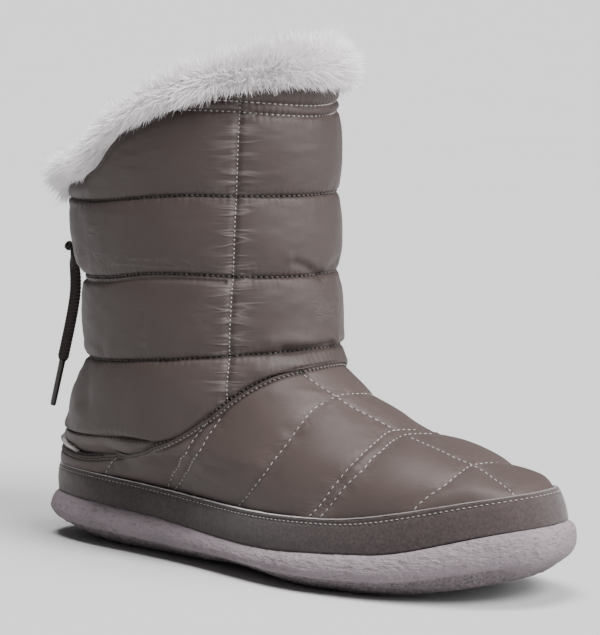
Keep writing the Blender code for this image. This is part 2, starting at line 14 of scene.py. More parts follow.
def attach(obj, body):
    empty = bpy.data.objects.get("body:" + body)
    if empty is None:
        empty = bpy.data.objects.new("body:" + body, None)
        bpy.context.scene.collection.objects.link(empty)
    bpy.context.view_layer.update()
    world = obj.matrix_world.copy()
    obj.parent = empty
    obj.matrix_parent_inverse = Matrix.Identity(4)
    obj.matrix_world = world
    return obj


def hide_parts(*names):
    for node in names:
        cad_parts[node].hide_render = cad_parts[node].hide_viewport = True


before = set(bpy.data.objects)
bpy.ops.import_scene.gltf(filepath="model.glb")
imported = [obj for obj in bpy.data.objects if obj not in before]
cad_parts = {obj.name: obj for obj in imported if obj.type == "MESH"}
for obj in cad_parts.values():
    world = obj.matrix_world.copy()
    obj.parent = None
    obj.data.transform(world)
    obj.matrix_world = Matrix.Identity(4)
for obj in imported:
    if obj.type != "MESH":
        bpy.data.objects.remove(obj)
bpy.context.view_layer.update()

# ---------------------------------------------------------------- sizes, mostly as in the solids
SLANT_POWER = 1.55
RIM_SAG, RIM_SAG_AT, RIM_SAG_WIDTH = 0.170, 0.29, 0.12
HEEL_SHARE, BALL_SHARE, ARCH_SHARE = 0.22, 0.68, 0.42
UPPER_WALL = 0.0042
SHAFT_WALL = 0.0048
GAP = 0.0003
RAND_THICKNESS = 0.0020
INSOLE_THICKNESS = 0.0050
INSOLE_CLEAR = 0.0026
SOLE_ARCH_LIFT, SOLE_TOE_LIFT, SOLE_HEEL_LIFT = 0.0021, 0.0092, 0.0020
SHAFT_PUFF, ANKLE_PUFF, RIM_PUFF, RIM_FADE = 0.0034, 0.0042, 0.0012, 0.0080
STRIP_PUFF = 0.0011
TOP_SEAM_Z, TOP_ROW_Z, TOP_SEAM_SAG = 0.1971, 0.2016, 0.0029
SLIT_BOTTOM_Z, SLIT_HALF, SLIT_FLARE = 0.0900, 0.0035, 0.0060
SLIT_FLATNESS, SLIT_FACING = 0.75, 0.0100
EYELET_HEIGHTS = (0.0970, 0.1140, 0.1310)
EYELET_EDGE = 0.0060
LACE_WIDTH, LACE_THICKNESS = 0.0046, 0.0012

RING_COLUMNS = ("back_x", "front_x", "back_z", "front_z", "heel_half", "out_half", "in_half",
                "out_waist", "in_waist", "back_square", "front_square", "rise_from", "rise_to",
                "shift", "dip", "slant")
RINGS = np.array((
    # sole edge
    (-0.1315, 0.1312, 0.0207, 0.0336, 0.0290, 0.0446, 0.0426, .0020, .0060, 3.4, 2.45,
     0.76, 1.04, .0030, .0057, 0.0),
    # top of the rand
    (-0.1310, 0.1268, 0.0328, 0.0482, 0.0294, 0.0428, 0.0408, .0020, .0050, 3.2, 2.40,
     0.69, 1.10, .0030, .0034, 0.0),
    # front of the toe box
    (-0.1300, 0.1198, 0.0378, 0.0496, 0.0310, 0.0428, 0.0408, .0016, .0040, 3.0, 2.35,
     0.60, 1.05, .0030, .0022, 0.0),
    # top of the toe box
    (-0.1290, 0.1070, 0.0415, 0.0530, 0.0325, 0.0424, 0.0404, .0010, .0030, 2.8, 2.30,
     0.52, 1.03, .0028, .0012, 0.0),
    # ball
    (-0.1280, 0.0840, 0.0445, 0.0586, 0.0345, 0.0422, 0.0406, .0006, .0020, 2.6, 2.25,
     0.48, 1.02, .0022, .0005, 0.0),
    # waist
    (-0.1270, 0.0580, 0.0470, 0.0641, 0.0370, 0.0426, 0.0414, .0002, .0010, 2.5, 2.20,
     0.50, 1.02, .0014, .0000, 0.0),
    # instep
    (-0.1255, 0.0340, 0.0490, 0.0760, 0.0390, 0.0434, 0.0426, .0000, .0000, 2.4, 2.15,
     0.54, 1.03, .0006, .0000, 0.0),
    # border between foot part and shaft
    (-0.1240, 0.0145, 0.0505, 0.0890, 0.0405, 0.0444, 0.0436, .0000, .0000, 2.3, 2.10,
     0.57, 1.03, .0002, -.0040, 0.0),
    # first shaft seam, at the ankle
    (-0.1090, 0.0115, 0.0840, 0.0979, 0.0430, 0.0438, 0.0438, .0000, .0000, 2.15, 2.05,
     -0.20, 1.50, .0000, .0001, 0.0),
    # second shaft seam
    (-0.1106, 0.0105, 0.1217, 0.1265, 0.0442, 0.0442, 0.0442, .0000, .0000, 2.1, 2.05,
     0.30, 0.80, .0000, -.0030, 0.0),
    # third shaft seam
    (-0.1202, 0.0105, 0.1552, 0.1608, 0.0448, 0.0448, 0.0448, .0000, .0000, 2.1, 2.05,
     0.30, 0.80, .0000, -.0014, 0.0),
    # rim under the collar
    (-0.1206, 0.0115, 0.1566, 0.2090, 0.0454, 0.0454, 0.0454, .0000, .0000, 2.1, 2.05,
     0.04, 0.72, .0000, .0000, 1.0),
))
BORDER, ANKLE_SEAM, MIDDLE_SEAM, TOP_LEVEL_SEAM, RIM = 7, 8, 9, 10, 11

SOLE_PROFILE = (
    # down, side, heel, toe
    (0.00, 0.0020, 0.0016, 0.0024),
    (0.08, 0.0040, 0.0032, 0.0046),
    (0.22, 0.0055, 0.0046, 0.0056),
    (0.42, 0.0058, 0.0051, 0.0055),
    (0.60, 0.0038, 0.0020, 0.0032),
    (0.78, -0.0008, -0.0050, -0.0024),
    (0.92, -0.0046, -0.0100, -0.0070),
    (1.00, -0.0082, -0.0155, -0.0108),
)

# Half section of the fur from its inner lobe over the top to its outer lower edge:
# outward from the shaft's surface, up from the rim, and how long the pile is there.
FUR_SECTION = (
    # out, up, pile
    (-0.0068, -0.0090, 0.6),
    (-0.0130, -0.0070, 0.9),
    (-0.0156, 0.0004, 1.0),
    (-0.0140, 0.0066, 1.0),
    (-0.0090, 0.0108, 1.0),
    (-0.0024, 0.0120, 1.0),
    (0.0036, 0.0104, 1.0),
    (0.0074, 0.0070, 0.9),
    (0.0084, 0.0036, 0.7),
    (0.0076, 0.0002, 0.45),
    (0.0054, -0.0024, 0.25),
    (0.0024, -0.0024, 0.15),
)
FUR_HEART = (-0.0035, 0.0040)
FUR_REACH, FUR_SPARE = 0.0150, 0.0085    # the pile droops where the band under it is lower

LACE_END_OUTER = (
    (-0.1201, -0.0069, 0.1300),
    (-0.1226, -0.0112, 0.1304),
    (-0.1212, -0.0142, 0.1272),
    (-0.1184, -0.0152, 0.1215),
    (-0.1178, -0.0156, 0.1130),
    (-0.1188, -0.0160, 0.1050),
    (-0.1208, -0.0164, 0.0960),
    (-0.1230, -0.0169, 0.0870),
    (-0.1249, -0.0173, 0.0795),
)
LACE_END_INNER = (
    (-0.1201, 0.0069, 0.1300),
    (-0.1208, 0.0120, 0.1266),
    (-0.1193, 0.0149, 0.1212),
    (-0.1179, 0.0156, 0.1155),
    (-0.1184, 0.0160, 0.1080),
    (-0.1200, 0.0163, 0.0990),
    (-0.1216, 0.0165, 0.0900),
    (-0.1231, 0.0166, 0.0815),
)
KNOT_CENTRE = (-0.1199, 0.0, 0.1305)
KNOT_TURNS = (
    # name, slant, half sizes (deep, wide, tall), shift, width of the braid
    ("lace_knot_left", 1.0, (0.0017, 0.0029, 0.0036), (0.0, -0.0018, 0.0), 0.0034),
    ("lace_knot_right", -1.0, (0.0017, 0.0029, 0.0036), (0.0, 0.0018, 0.0), 0.0034),
    ("lace_knot_band", 0.0, (0.0026, 0.0, 0.0030), (0.0, 0.0, 0.0), 0.0034),
    ("lace_knot_turn", 0.0, (0.0013, 0.0010, 0.0013), (-0.0051, -0.0122, 0.0014), 0.0024),
)
AGLET_LENGTH = 0.0215
END_WIDTH = 0.0052
BRAID_PITCH = 0.0016

# ---------------------------------------------------------------- seams
# Each seam is a route of (level, angle in degrees) on the rings; 180 is the front centre and
# angles past 180 lie on the outer side.
def mirrored(seam):
    """The same seam on the inner side."""
    return tuple((level, 360 - angle) for level, angle in seam)


def over_the_foot(half, middle):
    """A seam that ends on the inner side as it starts on the outer one."""
    return half + middle + mirrored(half)[::-1]


CENTRE_SEAM_BACK = ((6.98, 196.6), (6.55, 193), (6.18, 190.8), (5.90, 189.2), (5.62, 186.2),
                    (5.38, 183.8), (5.12, 182))
CENTRE_SEAM_FRONT = ((4.83, 182.2), (4.50, 183.6), (4.12, 185.6), (3.75, 187), (3.40, 187.6),
                     (2.98, 188.8), (2.40, 190.8), (1.0, 193.7))
INSTEP_SEAM = over_the_foot(
    ((1.0, 270), (1.75, 266.4), (2.62, 262), (3.35, 256.3)),
    ((3.90, 249.9), (4.45, 242.6), (4.98, 233.3), (5.40, 223.9), (5.68, 216), (5.93, 207.4),
     (6.05, 199.4), (6.15, 190.8), (6.18, 183.6), (6.15, 176), (6.08, 165), (5.93, 152.6),
     (5.68, 144), (5.40, 136.1), (4.98, 126.7), (4.45, 117.4), (3.90, 110.2)))
BALL_SEAM_BACK = over_the_foot(
    ((1.0, 250.6), (1.18, 249.8), (2.43, 242.6), (3.15, 236.2), (3.73, 227.5), (4.33, 215.3)),
    ((4.75, 203), (5.03, 191.5), (5.10, 182), (5.03, 172.8), (4.93, 165.6), (4.72, 156)))
BALL_SEAM_FRONT = over_the_foot(
    ((1.0, 247.8), (1.23, 247), (2.23, 241.2), (3.03, 234), (3.62, 224.6)),
    ((4.12, 214.6), (4.62, 200.2), (4.85, 189.4), (4.92, 181.4), (4.86, 172.8), (4.74, 165),
     (4.52, 155), (4.12, 144.6)))
TOE_SEAM = over_the_foot(
    ((1.03, 225.4), (1.48, 221.8), (2.23, 213.8)),
    ((2.90, 203.8), (3.28, 194), (3.42, 186), (3.40, 177), (3.25, 169.2), (2.90, 158)))
WAIST_SEAM_BACK = ((1.05, 291.6), (1.35, 290.9), (2.18, 288.6), (3.08, 284.2), (4.05, 277),
                   (4.80, 270.2), (5.40, 263.6), (6.12, 255), (6.38, 250.6), (6.55, 247),
                   (6.75, 241.2), (6.86, 237.6))
WAIST_SEAM_FRONT = ((1.03, 289.4), (1.58, 287.3), (2.45, 284), (3.35, 278.8), (4.40, 269.8),
                    (5.33, 259.9), (5.85, 252.9), (6.18, 247.7), (6.35, 244.1), (6.58, 237.6),
                    (6.68, 234.7))
HEEL_SEAM = ((1.07, 312.5), (2.38, 308.9), (4.20, 299.8))
BACK_SEAM = ((1.23, 345.6), (1.80, 345.6), (2.43, 344.9))
OUTER_BINDING = ((2.90, 360), (2.84, 346), (2.76, 334), (2.70, 324), (2.74, 317), (3.00, 311),
                 (3.38, 304.6), (3.98, 296.6), (4.90, 286.6), (5.80, 276.6), (6.50, 264.4),
                 (6.80, 253.6), (6.88, 244), (6.86, 236), (6.86, 228), (6.88, 216), (6.92, 198))
SIDE_SEAM = ((7.06, 229.0), (8.05, 229.0), (8.60, 227.5), (9.05, 226.1), (9.53, 224.6),
             (10.05, 223.2), (10.47, 222.5), (11.0, 221.8))


INNER_SIDE_SEAM = mirrored(SIDE_SEAM)
BINDING = over_the_foot(OUTER_BINDING, ((6.92, 180),))
ONE_SIDED_SEAMS = (WAIST_SEAM_BACK, WAIST_SEAM_FRONT, HEEL_SEAM, BACK_SEAM)
FOOT_SEAMS = ((INSTEP_SEAM, BALL_SEAM_BACK, BALL_SEAM_FRONT, TOE_SEAM, CENTRE_SEAM_BACK,
               CENTRE_SEAM_FRONT) + ONE_SIDED_SEAMS
              + tuple(mirrored(seam) for seam in ONE_SIDED_SEAMS))


# ---------------------------------------------------------------- the last, as the solids have it
def ring_slopes():
    """Slopes of the rings' values by level, so chosen that nothing overshoots between rings."""
    steps = np.diff(RINGS, axis=0)
    before, after = steps[:-1], steps[1:]
    turning = before * after <= 0
    total = np.where(turning, 1.0, before + after)
    middle = np.where(turning, 0.0, 2 * before * after / total)
    return np.vstack([steps[:1], middle, steps[-1:]])


RING_SLOPES = ring_slopes()


def smooth(t):
    """A soft step from 0 to 1."""
    t = np.clip(t, 0.0, 1.0)
    return t * t * (3 - 2 * t)


def ring_at(level):
    """The values of the rings at levels, by name."""
    level = np.asarray(level, float)
    low = np.clip(np.floor(level).astype(int), 0, len(RINGS) - 2)
    t = (level - low)[..., None]
    rows = ((2 * t**3 - 3 * t**2 + 1) * RINGS[low] + (t**3 - 2 * t**2 + t) * RING_SLOPES[low]
            + (3 * t**2 - 2 * t**3) * RINGS[low + 1] + (t**3 - t**2) * RING_SLOPES[low + 1])
    return {name: rows[..., column] for column, name in enumerate(RING_COLUMNS)}


def along_ring(ring, share):
    """Height of a ring at shares of its length from the back."""
    climb = smooth((share - ring["rise_from"]) / (ring["rise_to"] - ring["rise_from"]))
    rim = 1 - np.maximum(0.0, 1 - share)**SLANT_POWER
    rim = rim - RIM_SAG * np.exp(-((share - RIM_SAG_AT) / RIM_SAG_WIDTH)**2)
    climb = climb + ring["slant"] * (rim - climb)
    sag = ring["dip"] * np.exp(-((share - 0.5) / 0.25)**2)
    return ring["back_z"] + (ring["front_z"] - ring["back_z"]) * climb - sag


def ring_point(level, angle, side=0.0, heel=None, toe=None):
    """Points of the rings at levels and angles in radians, moved out by side."""
    level, angle = np.broadcast_arrays(np.asarray(level, float), np.asarray(angle, float))
    ring = ring_at(level)
    heel = side if heel is None else heel
    toe = side if toe is None else toe
    lengthwise = np.cos(angle)
    towards_toe = (1 - lengthwise) / 2
    power = ring["back_square"] + (ring["front_square"] - ring["back_square"]) * towards_toe
    crosswise = np.maximum(0.0, 1 - np.abs(lengthwise)**power)**(1 / power)
    back, front = ring["back_x"] - heel, ring["front_x"] + toe
    x = (back + front) / 2 - (front - back) / 2 * lengthwise
    share = (x - back) / (front - back)
    inner = np.sin(angle) >= 0
    ball = np.where(inner, ring["in_half"], ring["out_half"])
    waist = np.where(inner, ring["in_waist"], ring["out_waist"])
    width = smooth((share - HEEL_SHARE) / (BALL_SHARE - HEEL_SHARE))
    half = ring["heel_half"] + (ball - ring["heel_half"]) * width
    half = half + side - waist * np.exp(-((share - ARCH_SHARE) / 0.14)**2)
    y = np.where(inner, half, -half) * crosswise
    y = y + ring["shift"] * smooth((share - 0.55) / 0.45)
    return np.stack([x, y, along_ring(ring, share)], axis=-1)


def ring_height(level, angle):
    return ring_point(level, angle)[..., 2]


def unit(vectors):
    return vectors / np.maximum(np.linalg.norm(vectors, axis=-1, keepdims=True), 1e-12)


def outward(level, angle):
    """Level direction out of the rings."""
    step = 0.01
    along = ring_point(level, angle + step) - ring_point(level, angle - step)
    return unit(np.stack([-along[..., 1], along[..., 0], np.zeros_like(along[..., 0])], axis=-1))


def slit_half(z):
    """Half the width of the slit at a height."""
    rim_z = RINGS[RIM][2]
    share = np.clip((z - SLIT_BOTTOM_Z) / (rim_z - SLIT_BOTTOM_Z), 0.0, 1.0)
    return SLIT_HALF + SLIT_FLARE * share**1.5


def back_angle(level, reach):
    """Angle at which a ring is reach away from the middle line at the back."""
    ring = ring_at(level)
    power = ring["back_square"]
    return np.arccos((1 - (reach / ring["heel_half"])**power)**(1 / power))


def slit_angle(level):
    return back_angle(level, slit_half(ring_at(level)["back_z"]))


def band_puff(share):
    """Round crown of a padded band: 0 at both its seams, 1 in the middle."""
    return np.sqrt(np.maximum(0.0, 1 - (2 * share - 1)**2))


def rim_rows(angle):
    """Heights of the dark seam under the rim and of the light dashed row over it."""
    away = np.abs(np.degrees(angle) % 360 - 180)
    sag = TOP_SEAM_SAG * (1 - smooth(away / 60))
    return TOP_SEAM_Z - sag, TOP_ROW_Z - sag


def level_rows(angle):
    """Heights of the shaft's level seams and of the two rows at its rim, by number."""
    rows = {seam: ring_height(seam, angle)
            for seam in (BORDER, ANKLE_SEAM, MIDDLE_SEAM, TOP_LEVEL_SEAM)}
    rows[RIM], rows[RIM + 1] = rim_rows(angle)
    return rows


def shaft_puff(level, angle, z):
    """How far the wadding of the shaft's bands stands out over the rings."""
    seam_z, rim_z = ring_height(TOP_LEVEL_SEAM, angle), ring_height(RIM, angle)
    dark_z, light_z = rim_rows(angle)
    under = SHAFT_PUFF * band_puff((z - seam_z) / (dark_z - seam_z))
    strip = STRIP_PUFF * band_puff((z - dark_z) / (light_z - dark_z))
    over = RIM_PUFF * band_puff((z - light_z) / np.maximum(rim_z - light_z, 0.001))
    top = np.where(z < dark_z, under * smooth((rim_z - z) / RIM_FADE),
                   np.where(z < light_z, strip, over))
    bands = SHAFT_PUFF * band_puff(level % 1.0)
    ankle = ANKLE_PUFF * band_puff(np.clip(level - BORDER, 0, 1))
    return np.where(level < ANKLE_SEAM, ankle, np.where(level <= TOP_LEVEL_SEAM, bands, top))


def level_reaching(height, height_at, low):
    """Level between low and the rim at which height_at(level), which rises, passes a height."""
    high = np.full_like(low, RIM)
    for _ in range(30):
        middle = (low + high) / 2
        under = height_at(middle) < height
        low, high = np.where(under, middle, low), np.where(under, high, middle)
    return low


# ---------------------------------------------------------------- noise and distances
def noise(points, size, seed=0):
    """Smooth value noise from -1 to 1 with cells of a size."""
    cells = np.asarray(points, float) / size
    base = np.floor(cells).astype(np.int64)
    t = cells - base
    t = t * t * (3 - 2 * t)
    total = np.zeros(cells.shape[:-1])
    for corner in itertools.product((0, 1), repeat=cells.shape[-1]):
        key = np.full(cells.shape[:-1], seed * 7919 + 17, dtype=np.int64)
        weight = np.ones(cells.shape[:-1])
        for axis, side in enumerate(corner):
            key = (key * 31 + base[..., axis] + side) * 1103515245 % 2147483647
            weight = weight * (t[..., axis] if side else 1 - t[..., axis])
        key = (key ^ (key >> 11)) * 69069 % 2147483647
        total = total + weight * (key / 1073741823.5 - 1)
    return total


def uneven(points, *layers):
    """Unevenness from layers of noise: height, size of the cells and seed of each."""
    return sum(height * noise(points, size, seed) for height, size, seed in layers)


def noise_way(points, size, seed):
    """A direction that wanders from place to place."""
    return np.stack([noise(points, size, seed + axis) for axis in range(3)], axis=-1)


def smooth_route(points, steps):
    """Points on a smooth curve through the route's own points."""
    points = np.asarray(points, float)
    ends = np.vstack([2 * points[0] - points[1], points, 2 * points[-1] - points[-2]])
    t = (np.arange(steps) / steps)[:, None]
    route = []
    for before, start, end, after in zip(ends, ends[1:], ends[2:], ends[3:]):
        route.append(0.5 * (2 * start + (end - before) * t
                            + (2 * before - 5 * start + 4 * end - after) * t**2
                            + (3 * start - before - 3 * end + after) * t**3))
    return np.vstack(route + [points[-1:]])


def arc_lengths(route):
    steps = np.linalg.norm(np.diff(route, axis=0), axis=1)
    return np.concatenate([[0.0], np.cumsum(steps)])


def at_places(places, lengths, values):
    """Points or normals of a route at arc lengths along it."""
    return np.stack([np.interp(places, lengths, values[:, axis]) for axis in range(3)], axis=1)


def seam_field(points, route, reach):
    """Distance from each point to a route, and the arc length at the nearest place."""
    shape = points.shape[:-1]
    flat = points.reshape(-1, 3)
    distance = np.full(len(flat), 1.0)
    arc = np.zeros(len(flat))
    low, high = route.min(axis=0) - reach, route.max(axis=0) + reach
    near = np.nonzero(((flat > low) & (flat < high)).all(axis=1))[0]
    lengths = arc_lengths(route)
    for start, end, gone in zip(route, route[1:], lengths):
        along = end - start
        size = max(float(along @ along), 1e-12)
        t = np.clip((flat[near] - start) @ along / size, 0.0, 1.0)
        apart = np.linalg.norm(flat[near] - start - t[:, None] * along, axis=1)
        closer = apart < distance[near]
        distance[near[closer]] = apart[closer]
        arc[near[closer]] = gone + t[closer] * math.sqrt(size)
    return distance.reshape(shape), arc.reshape(shape)


def ring_route(seam, steps=8):
    """Points of the plain rings along a seam."""
    route = smooth_route(seam, steps)
    return ring_point(route[:, 0], np.radians(route[:, 1]))


def seam_distance(points, seam, reach=0.03, steps=8):
    return seam_field(points, ring_route(seam, steps), reach)[0]


def creases(base, table):
    """Soft ridges and troughs along listed routes."""
    height = np.zeros(base.shape[:-1])
    for route, width, depth in table:
        distance = seam_distance(base, route, 3 * width)
        height += depth * np.exp(-(distance / width)**2)
    return height


# ---------------------------------------------------------------- relief of the foot part
HEEL_FULL = 0.0030
QUILT_HEIGHT = 0.0021        # how far a quilted cell stands over its seams
QUILT_SINK = 0.0009          # how far the seams lie under the plain rings
QUILT_WIDTH = 0.0085         # distance from a seam over which it rises
FOOT_GROOVE = 0.00045        # sharp groove at the bottom of a seam, as deep as its puckers
# Creases of the foot part: route, width, height (negative is a trough).
FOOT_CREASES = (
    (((4.6, 262), (4.0, 256), (3.4, 252)), 0.0030, -0.0006),
    (((5.2, 268), (4.6, 264), (4.0, 261)), 0.0026, -0.0005),
    (((3.4, 276), (2.8, 270), (2.2, 267)), 0.0028, 0.0005),
    (((6.5, 214), (6.3, 205), (6.2, 197)), 0.0040, 0.0005),
    (((4.1, 98), (3.4, 104), (2.9, 110)), 0.0030, -0.0006),
    (((5.1, 92), (4.4, 97), (3.8, 100)), 0.0026, -0.0005),
)


def foot_relief(level, angle, base):
    """Height of the quilting, binding and creases over the foot part's rings."""
    height = np.zeros(level.shape)
    nearest = np.full(level.shape, 1.0)
    for number, seam in enumerate(FOOT_SEAMS):
        distance, arc = seam_field(base, ring_route(seam), 0.03)
        nearest = np.minimum(nearest, distance)
        along = np.stack([arc, np.full_like(arc, number * 0.05)], axis=-1)
        pucker = noise(along, 0.0042, number) * np.exp(-(distance / 0.0050)**2)
        height += FOOT_GROOVE * pucker * smooth(distance / 0.0014)
    rise = 1 - np.exp(-(nearest / QUILT_WIDTH)**1.25)
    edge = smooth((level - 0.75) / 1.1)
    top = smooth((BORDER - level) / 0.35)
    height += QUILT_HEIGHT * rise * edge * top
    height -= FOOT_GROOVE * np.exp(-(nearest / 0.0011)**2) * edge
    height -= QUILT_SINK * edge * top
    height += binding_step(level, angle, base)
    height += uneven(base, (0.00022, 0.017, 3), (0.00012, 0.008, 4)) * edge
    return height + creases(base, FOOT_CREASES)


def foot_pull(level, angle):
    """How strongly the foot part's seams crinkle the cloth."""
    base = ring_point(level, angle)
    nearest = np.full(level.shape, 1.0)
    for seam in FOOT_SEAMS:
        nearest = np.minimum(nearest, seam_distance(base, seam))
    return np.exp(-nearest / 0.0040) * (0.6 + 0.5 * noise(base, 0.015, 151))


def binding_level(angle):
    """Level of the binding's lower edge at angles."""
    turn = np.degrees(angle) % 360
    route = smooth_route(BINDING, 6)
    order = np.argsort(route[:, 1])
    return np.interp(turn, route[order, 1], route[order, 0])


def binding_step(level, angle, base):
    """The binding strip: a soft crown under the border and a groove on each side of its piping."""
    edge = binding_level(angle)
    above = np.where(level > edge, 1.0, -1.0) * seam_distance(base, BINDING, 0.02)
    groove = -0.0008 * np.exp(-((above - 0.0017) / 0.0007)**2)
    groove -= 0.0005 * np.exp(-((above + 0.0015) / 0.0006)**2)
    share = np.clip((level - edge) / np.maximum(BORDER - edge, 0.05), 0, 1)
    crown = 0.0011 * np.sin(np.pi * share) * smooth((BORDER - edge - 0.3) / 1.0)
    return groove + np.where(level > edge, crown, 0.0)


def normal_of(point_at, level, angle, up=0.01, aside=0.004):
    """Outward normal of a surface, from its differences over small steps."""
    rise = point_at(level + up, angle) - point_at(level - up, angle)
    along = point_at(level, angle + aside) - point_at(level, angle - aside)
    return unit(np.cross(rise, along))


def ring_normal(level, angle):
    return normal_of(ring_point, level, angle)


def heel_fullness(level, angle):
    """The padded counter stands out round the heel, between the rand and the binding."""
    away = np.abs((np.degrees(angle) + 180) % 360 - 180)
    return HEEL_FULL * band_puff(np.clip((level - 0.9) / 2.1, 0, 1)) * smooth((62 - away) / 30)


def foot_surface(level, angle):
    """The dressed foot part's outer surface."""
    base = ring_point(level, angle)
    height = foot_relief(level, angle, base) + heel_fullness(level, angle)
    return base + ring_normal(level, angle) * height[..., None]


# ---------------------------------------------------------------- relief of the shaft
MEAN_RADIUS = 0.050          # turns an angle round the shaft into a length
PUCKER_PITCH = 0.0033        # horizontal puckers beside the side seam
RIPPLE_PITCH = 0.0027        # gathers along the level seams
SEAM_GROOVE = 0.0007         # sharp groove at the bottom of a level seam
BAND_SAG = 0.0021            # how far the wadding of a band hangs down beside the slit
SHAFT_BACK_X = -0.08         # behind this place the shaft is flattened beside the slit
# Creases of the shaft: route, width, height (negative is a trough).
SHAFT_CREASES = (
    (((9.20, 196), (9.15, 190), (9.06, 184), (8.99, 178)), 0.0022, -0.0014),
    (((9.26, 199), (9.21, 191), (9.12, 184)), 0.0020, 0.0007),
    (((8.16, 208), (8.20, 200), (8.14, 190), (8.10, 180), (8.12, 170)), 0.0040, 0.0013),
    (((8.05, 203), (8.03, 194), (8.06, 184), (8.09, 174)), 0.0016, -0.0015),
    (((7.62, 215), (7.70, 205), (7.66, 194)), 0.0030, 0.0007),
    (((8.10, 150), (8.16, 160), (8.12, 170)), 0.0034, 0.0009),
    (((9.14, 162), (9.08, 170), (8.99, 178)), 0.0024, -0.0010),
    (((8.07, 40), (8.16, 52), (8.12, 66)), 0.0032, 0.0007),
    (((8.10, 300), (8.17, 312), (8.12, 324)), 0.0030, 0.0006),
    (((9.78, 330), (9.74, 318), (9.78, 306)), 0.0028, -0.0006),
    (((9.70, 32), (9.76, 44), (9.72, 58)), 0.0028, -0.0006),
    (((7.40, 330), (7.55, 318), (7.60, 304)), 0.0040, -0.0006),
    (((7.45, 36), (7.55, 50), (7.52, 64)), 0.0040, -0.0006),
)


def side_seam_relief(base, seam, seed):
    """Valley of a vertical seam and the short level puckers that it pulls in."""
    route = ring_route(seam, 10)
    distance = seam_distance(base, seam, steps=10)
    # which side of the seam a point is on, and its place along it
    middle = np.interp(base[..., 2], route[:, 2], route[:, 0])
    side = np.where(base[..., 0] > middle, 1.0, -1.0)
    along = base[..., 2] / PUCKER_PITCH
    along = along + 0.28 * noise(np.stack([along, side * 3], axis=-1), 2.3, seed)
    cell = np.floor(along)
    phase = along - cell - 0.5
    key = np.stack([cell + 0.5, side * 5 + 0.5], axis=-1)
    strength = 0.55 + 0.45 * noise(key, 1.0, seed + 1)
    reach = 0.0060 + 0.0034 * noise(key, 1.0, seed + 2)
    ridge = np.exp(-(phase / 0.20)**2) - 0.55 * np.exp(-((phase + 0.33) / 0.16)**2)
    fade = np.exp(-(distance / reach)**2) * smooth(distance / 0.0012)
    valley = -0.0010 * np.exp(-(distance / 0.0014)**2) - 0.0008 * np.exp(-distance / 0.0050)
    return valley + 0.00042 * strength * ridge * fade


def shaft_relief(level, angle, base):
    """Height of the wadding, gathers and creases over the shaft's rings."""
    puff = shaft_puff(level, angle, base[..., 2])
    flat = 1 - smooth((np.abs(base[..., 1]) - SLIT_FACING) / SLIT_FACING)
    above = smooth((level - ANKLE_SEAM + 0.4) / 0.4)
    behind = (base[..., 0] < SHAFT_BACK_X) & (level > ANKLE_SEAM - 0.4)
    puff = np.where(behind, puff * (1 - above * flat * SLIT_FLATNESS), puff)
    band, ankle = np.clip(level - MIDDLE_SEAM, 0, 1), np.clip(level - BORDER, 0, 1)
    sagged = BAND_SAG * (smooth(band / 0.14) * (1 - smooth((band - 0.10) / 0.70))
                         + smooth((ankle - 0.28) / 0.36) * (1 - smooth((ankle - 0.62) / 0.38)))
    beside_slit = smooth((-0.084 - base[..., 0]) / 0.016) * (1 - flat)
    height = puff + sagged * beside_slit
    for number, row_z in level_rows(angle).items():
        height += gathers(base[..., 2] - row_z, angle, number)
    height += second_row_valley(base, angle)
    height += side_seam_relief(base, SIDE_SEAM, 11)
    height += side_seam_relief(base, INNER_SIDE_SEAM, 23)
    height += uneven(base, (0.00045, 0.026, 5), (0.00018, 0.010, 6))
    lay = np.stack([angle * MEAN_RADIUS, base[..., 2] * 2.8], axis=-1)
    height += uneven(lay, (0.00016, 0.0090, 8), (0.00006, 0.0040, 9))
    return height + creases(base, SHAFT_CREASES)


# The second row lies this far under the middle level seam, from the slit to this angle.
SECOND_ROW_DROP, SECOND_ROW_END = 0.0023, 131


def second_row_valley(base, angle):
    """The groove of the row sewn just under the middle level seam, behind the side seams."""
    seam_z = ring_height(MIDDLE_SEAM, angle)
    behind = np.minimum(angle, 2 * np.pi - angle) < math.radians(SECOND_ROW_END)
    below = (base[..., 2] - seam_z + SECOND_ROW_DROP) / 0.0010
    return np.where(behind, -0.0013 * np.exp(-below**2), 0.0)


def shaft_pulls(level, angle):
    """How strongly the upright and level seams crease the cloth, and where it is crinkled."""
    base = ring_point(level, angle)
    side = np.zeros(level.shape)
    for number, seam in enumerate((SIDE_SEAM, INNER_SIDE_SEAM)):
        distance = seam_distance(base, seam, steps=10)
        reach = 0.0060 + 0.0035 * noise(base * np.array([0.3, 0.3, 1.0]), 0.0055, 141 + number)
        side = np.maximum(side, np.exp(-(distance / reach)**2))
    above = np.full(level.shape, 1.0)
    for row_z in level_rows(angle).values():
        above = np.minimum(above, np.abs(base[..., 2] - row_z))
    over_row = smooth((base[..., 2] - rim_rows(angle)[0]) / 0.001)
    pull = np.maximum(np.exp(-above / 0.0030) * (0.62 + 0.5 * noise(base, 0.012, 145)),
                      0.6 * over_row)
    # faint crinkles in a belt over the middle level seam, and scattered spots
    belt = sum(np.exp(-((base[..., 2] - height) / 0.0008)**2) for height in (0.1302, 0.1330))
    spots = smooth((noise(base, 0.016, 146) - 0.58) / 0.2) * 0.5
    back = smooth((-0.012 - base[..., 0]) / 0.02)
    return {"side_pull": side, "level_pull": np.clip(pull, 0, 1),
            "crinkle": np.clip(belt * back + spots * (level > 7.2), 0, 1)}


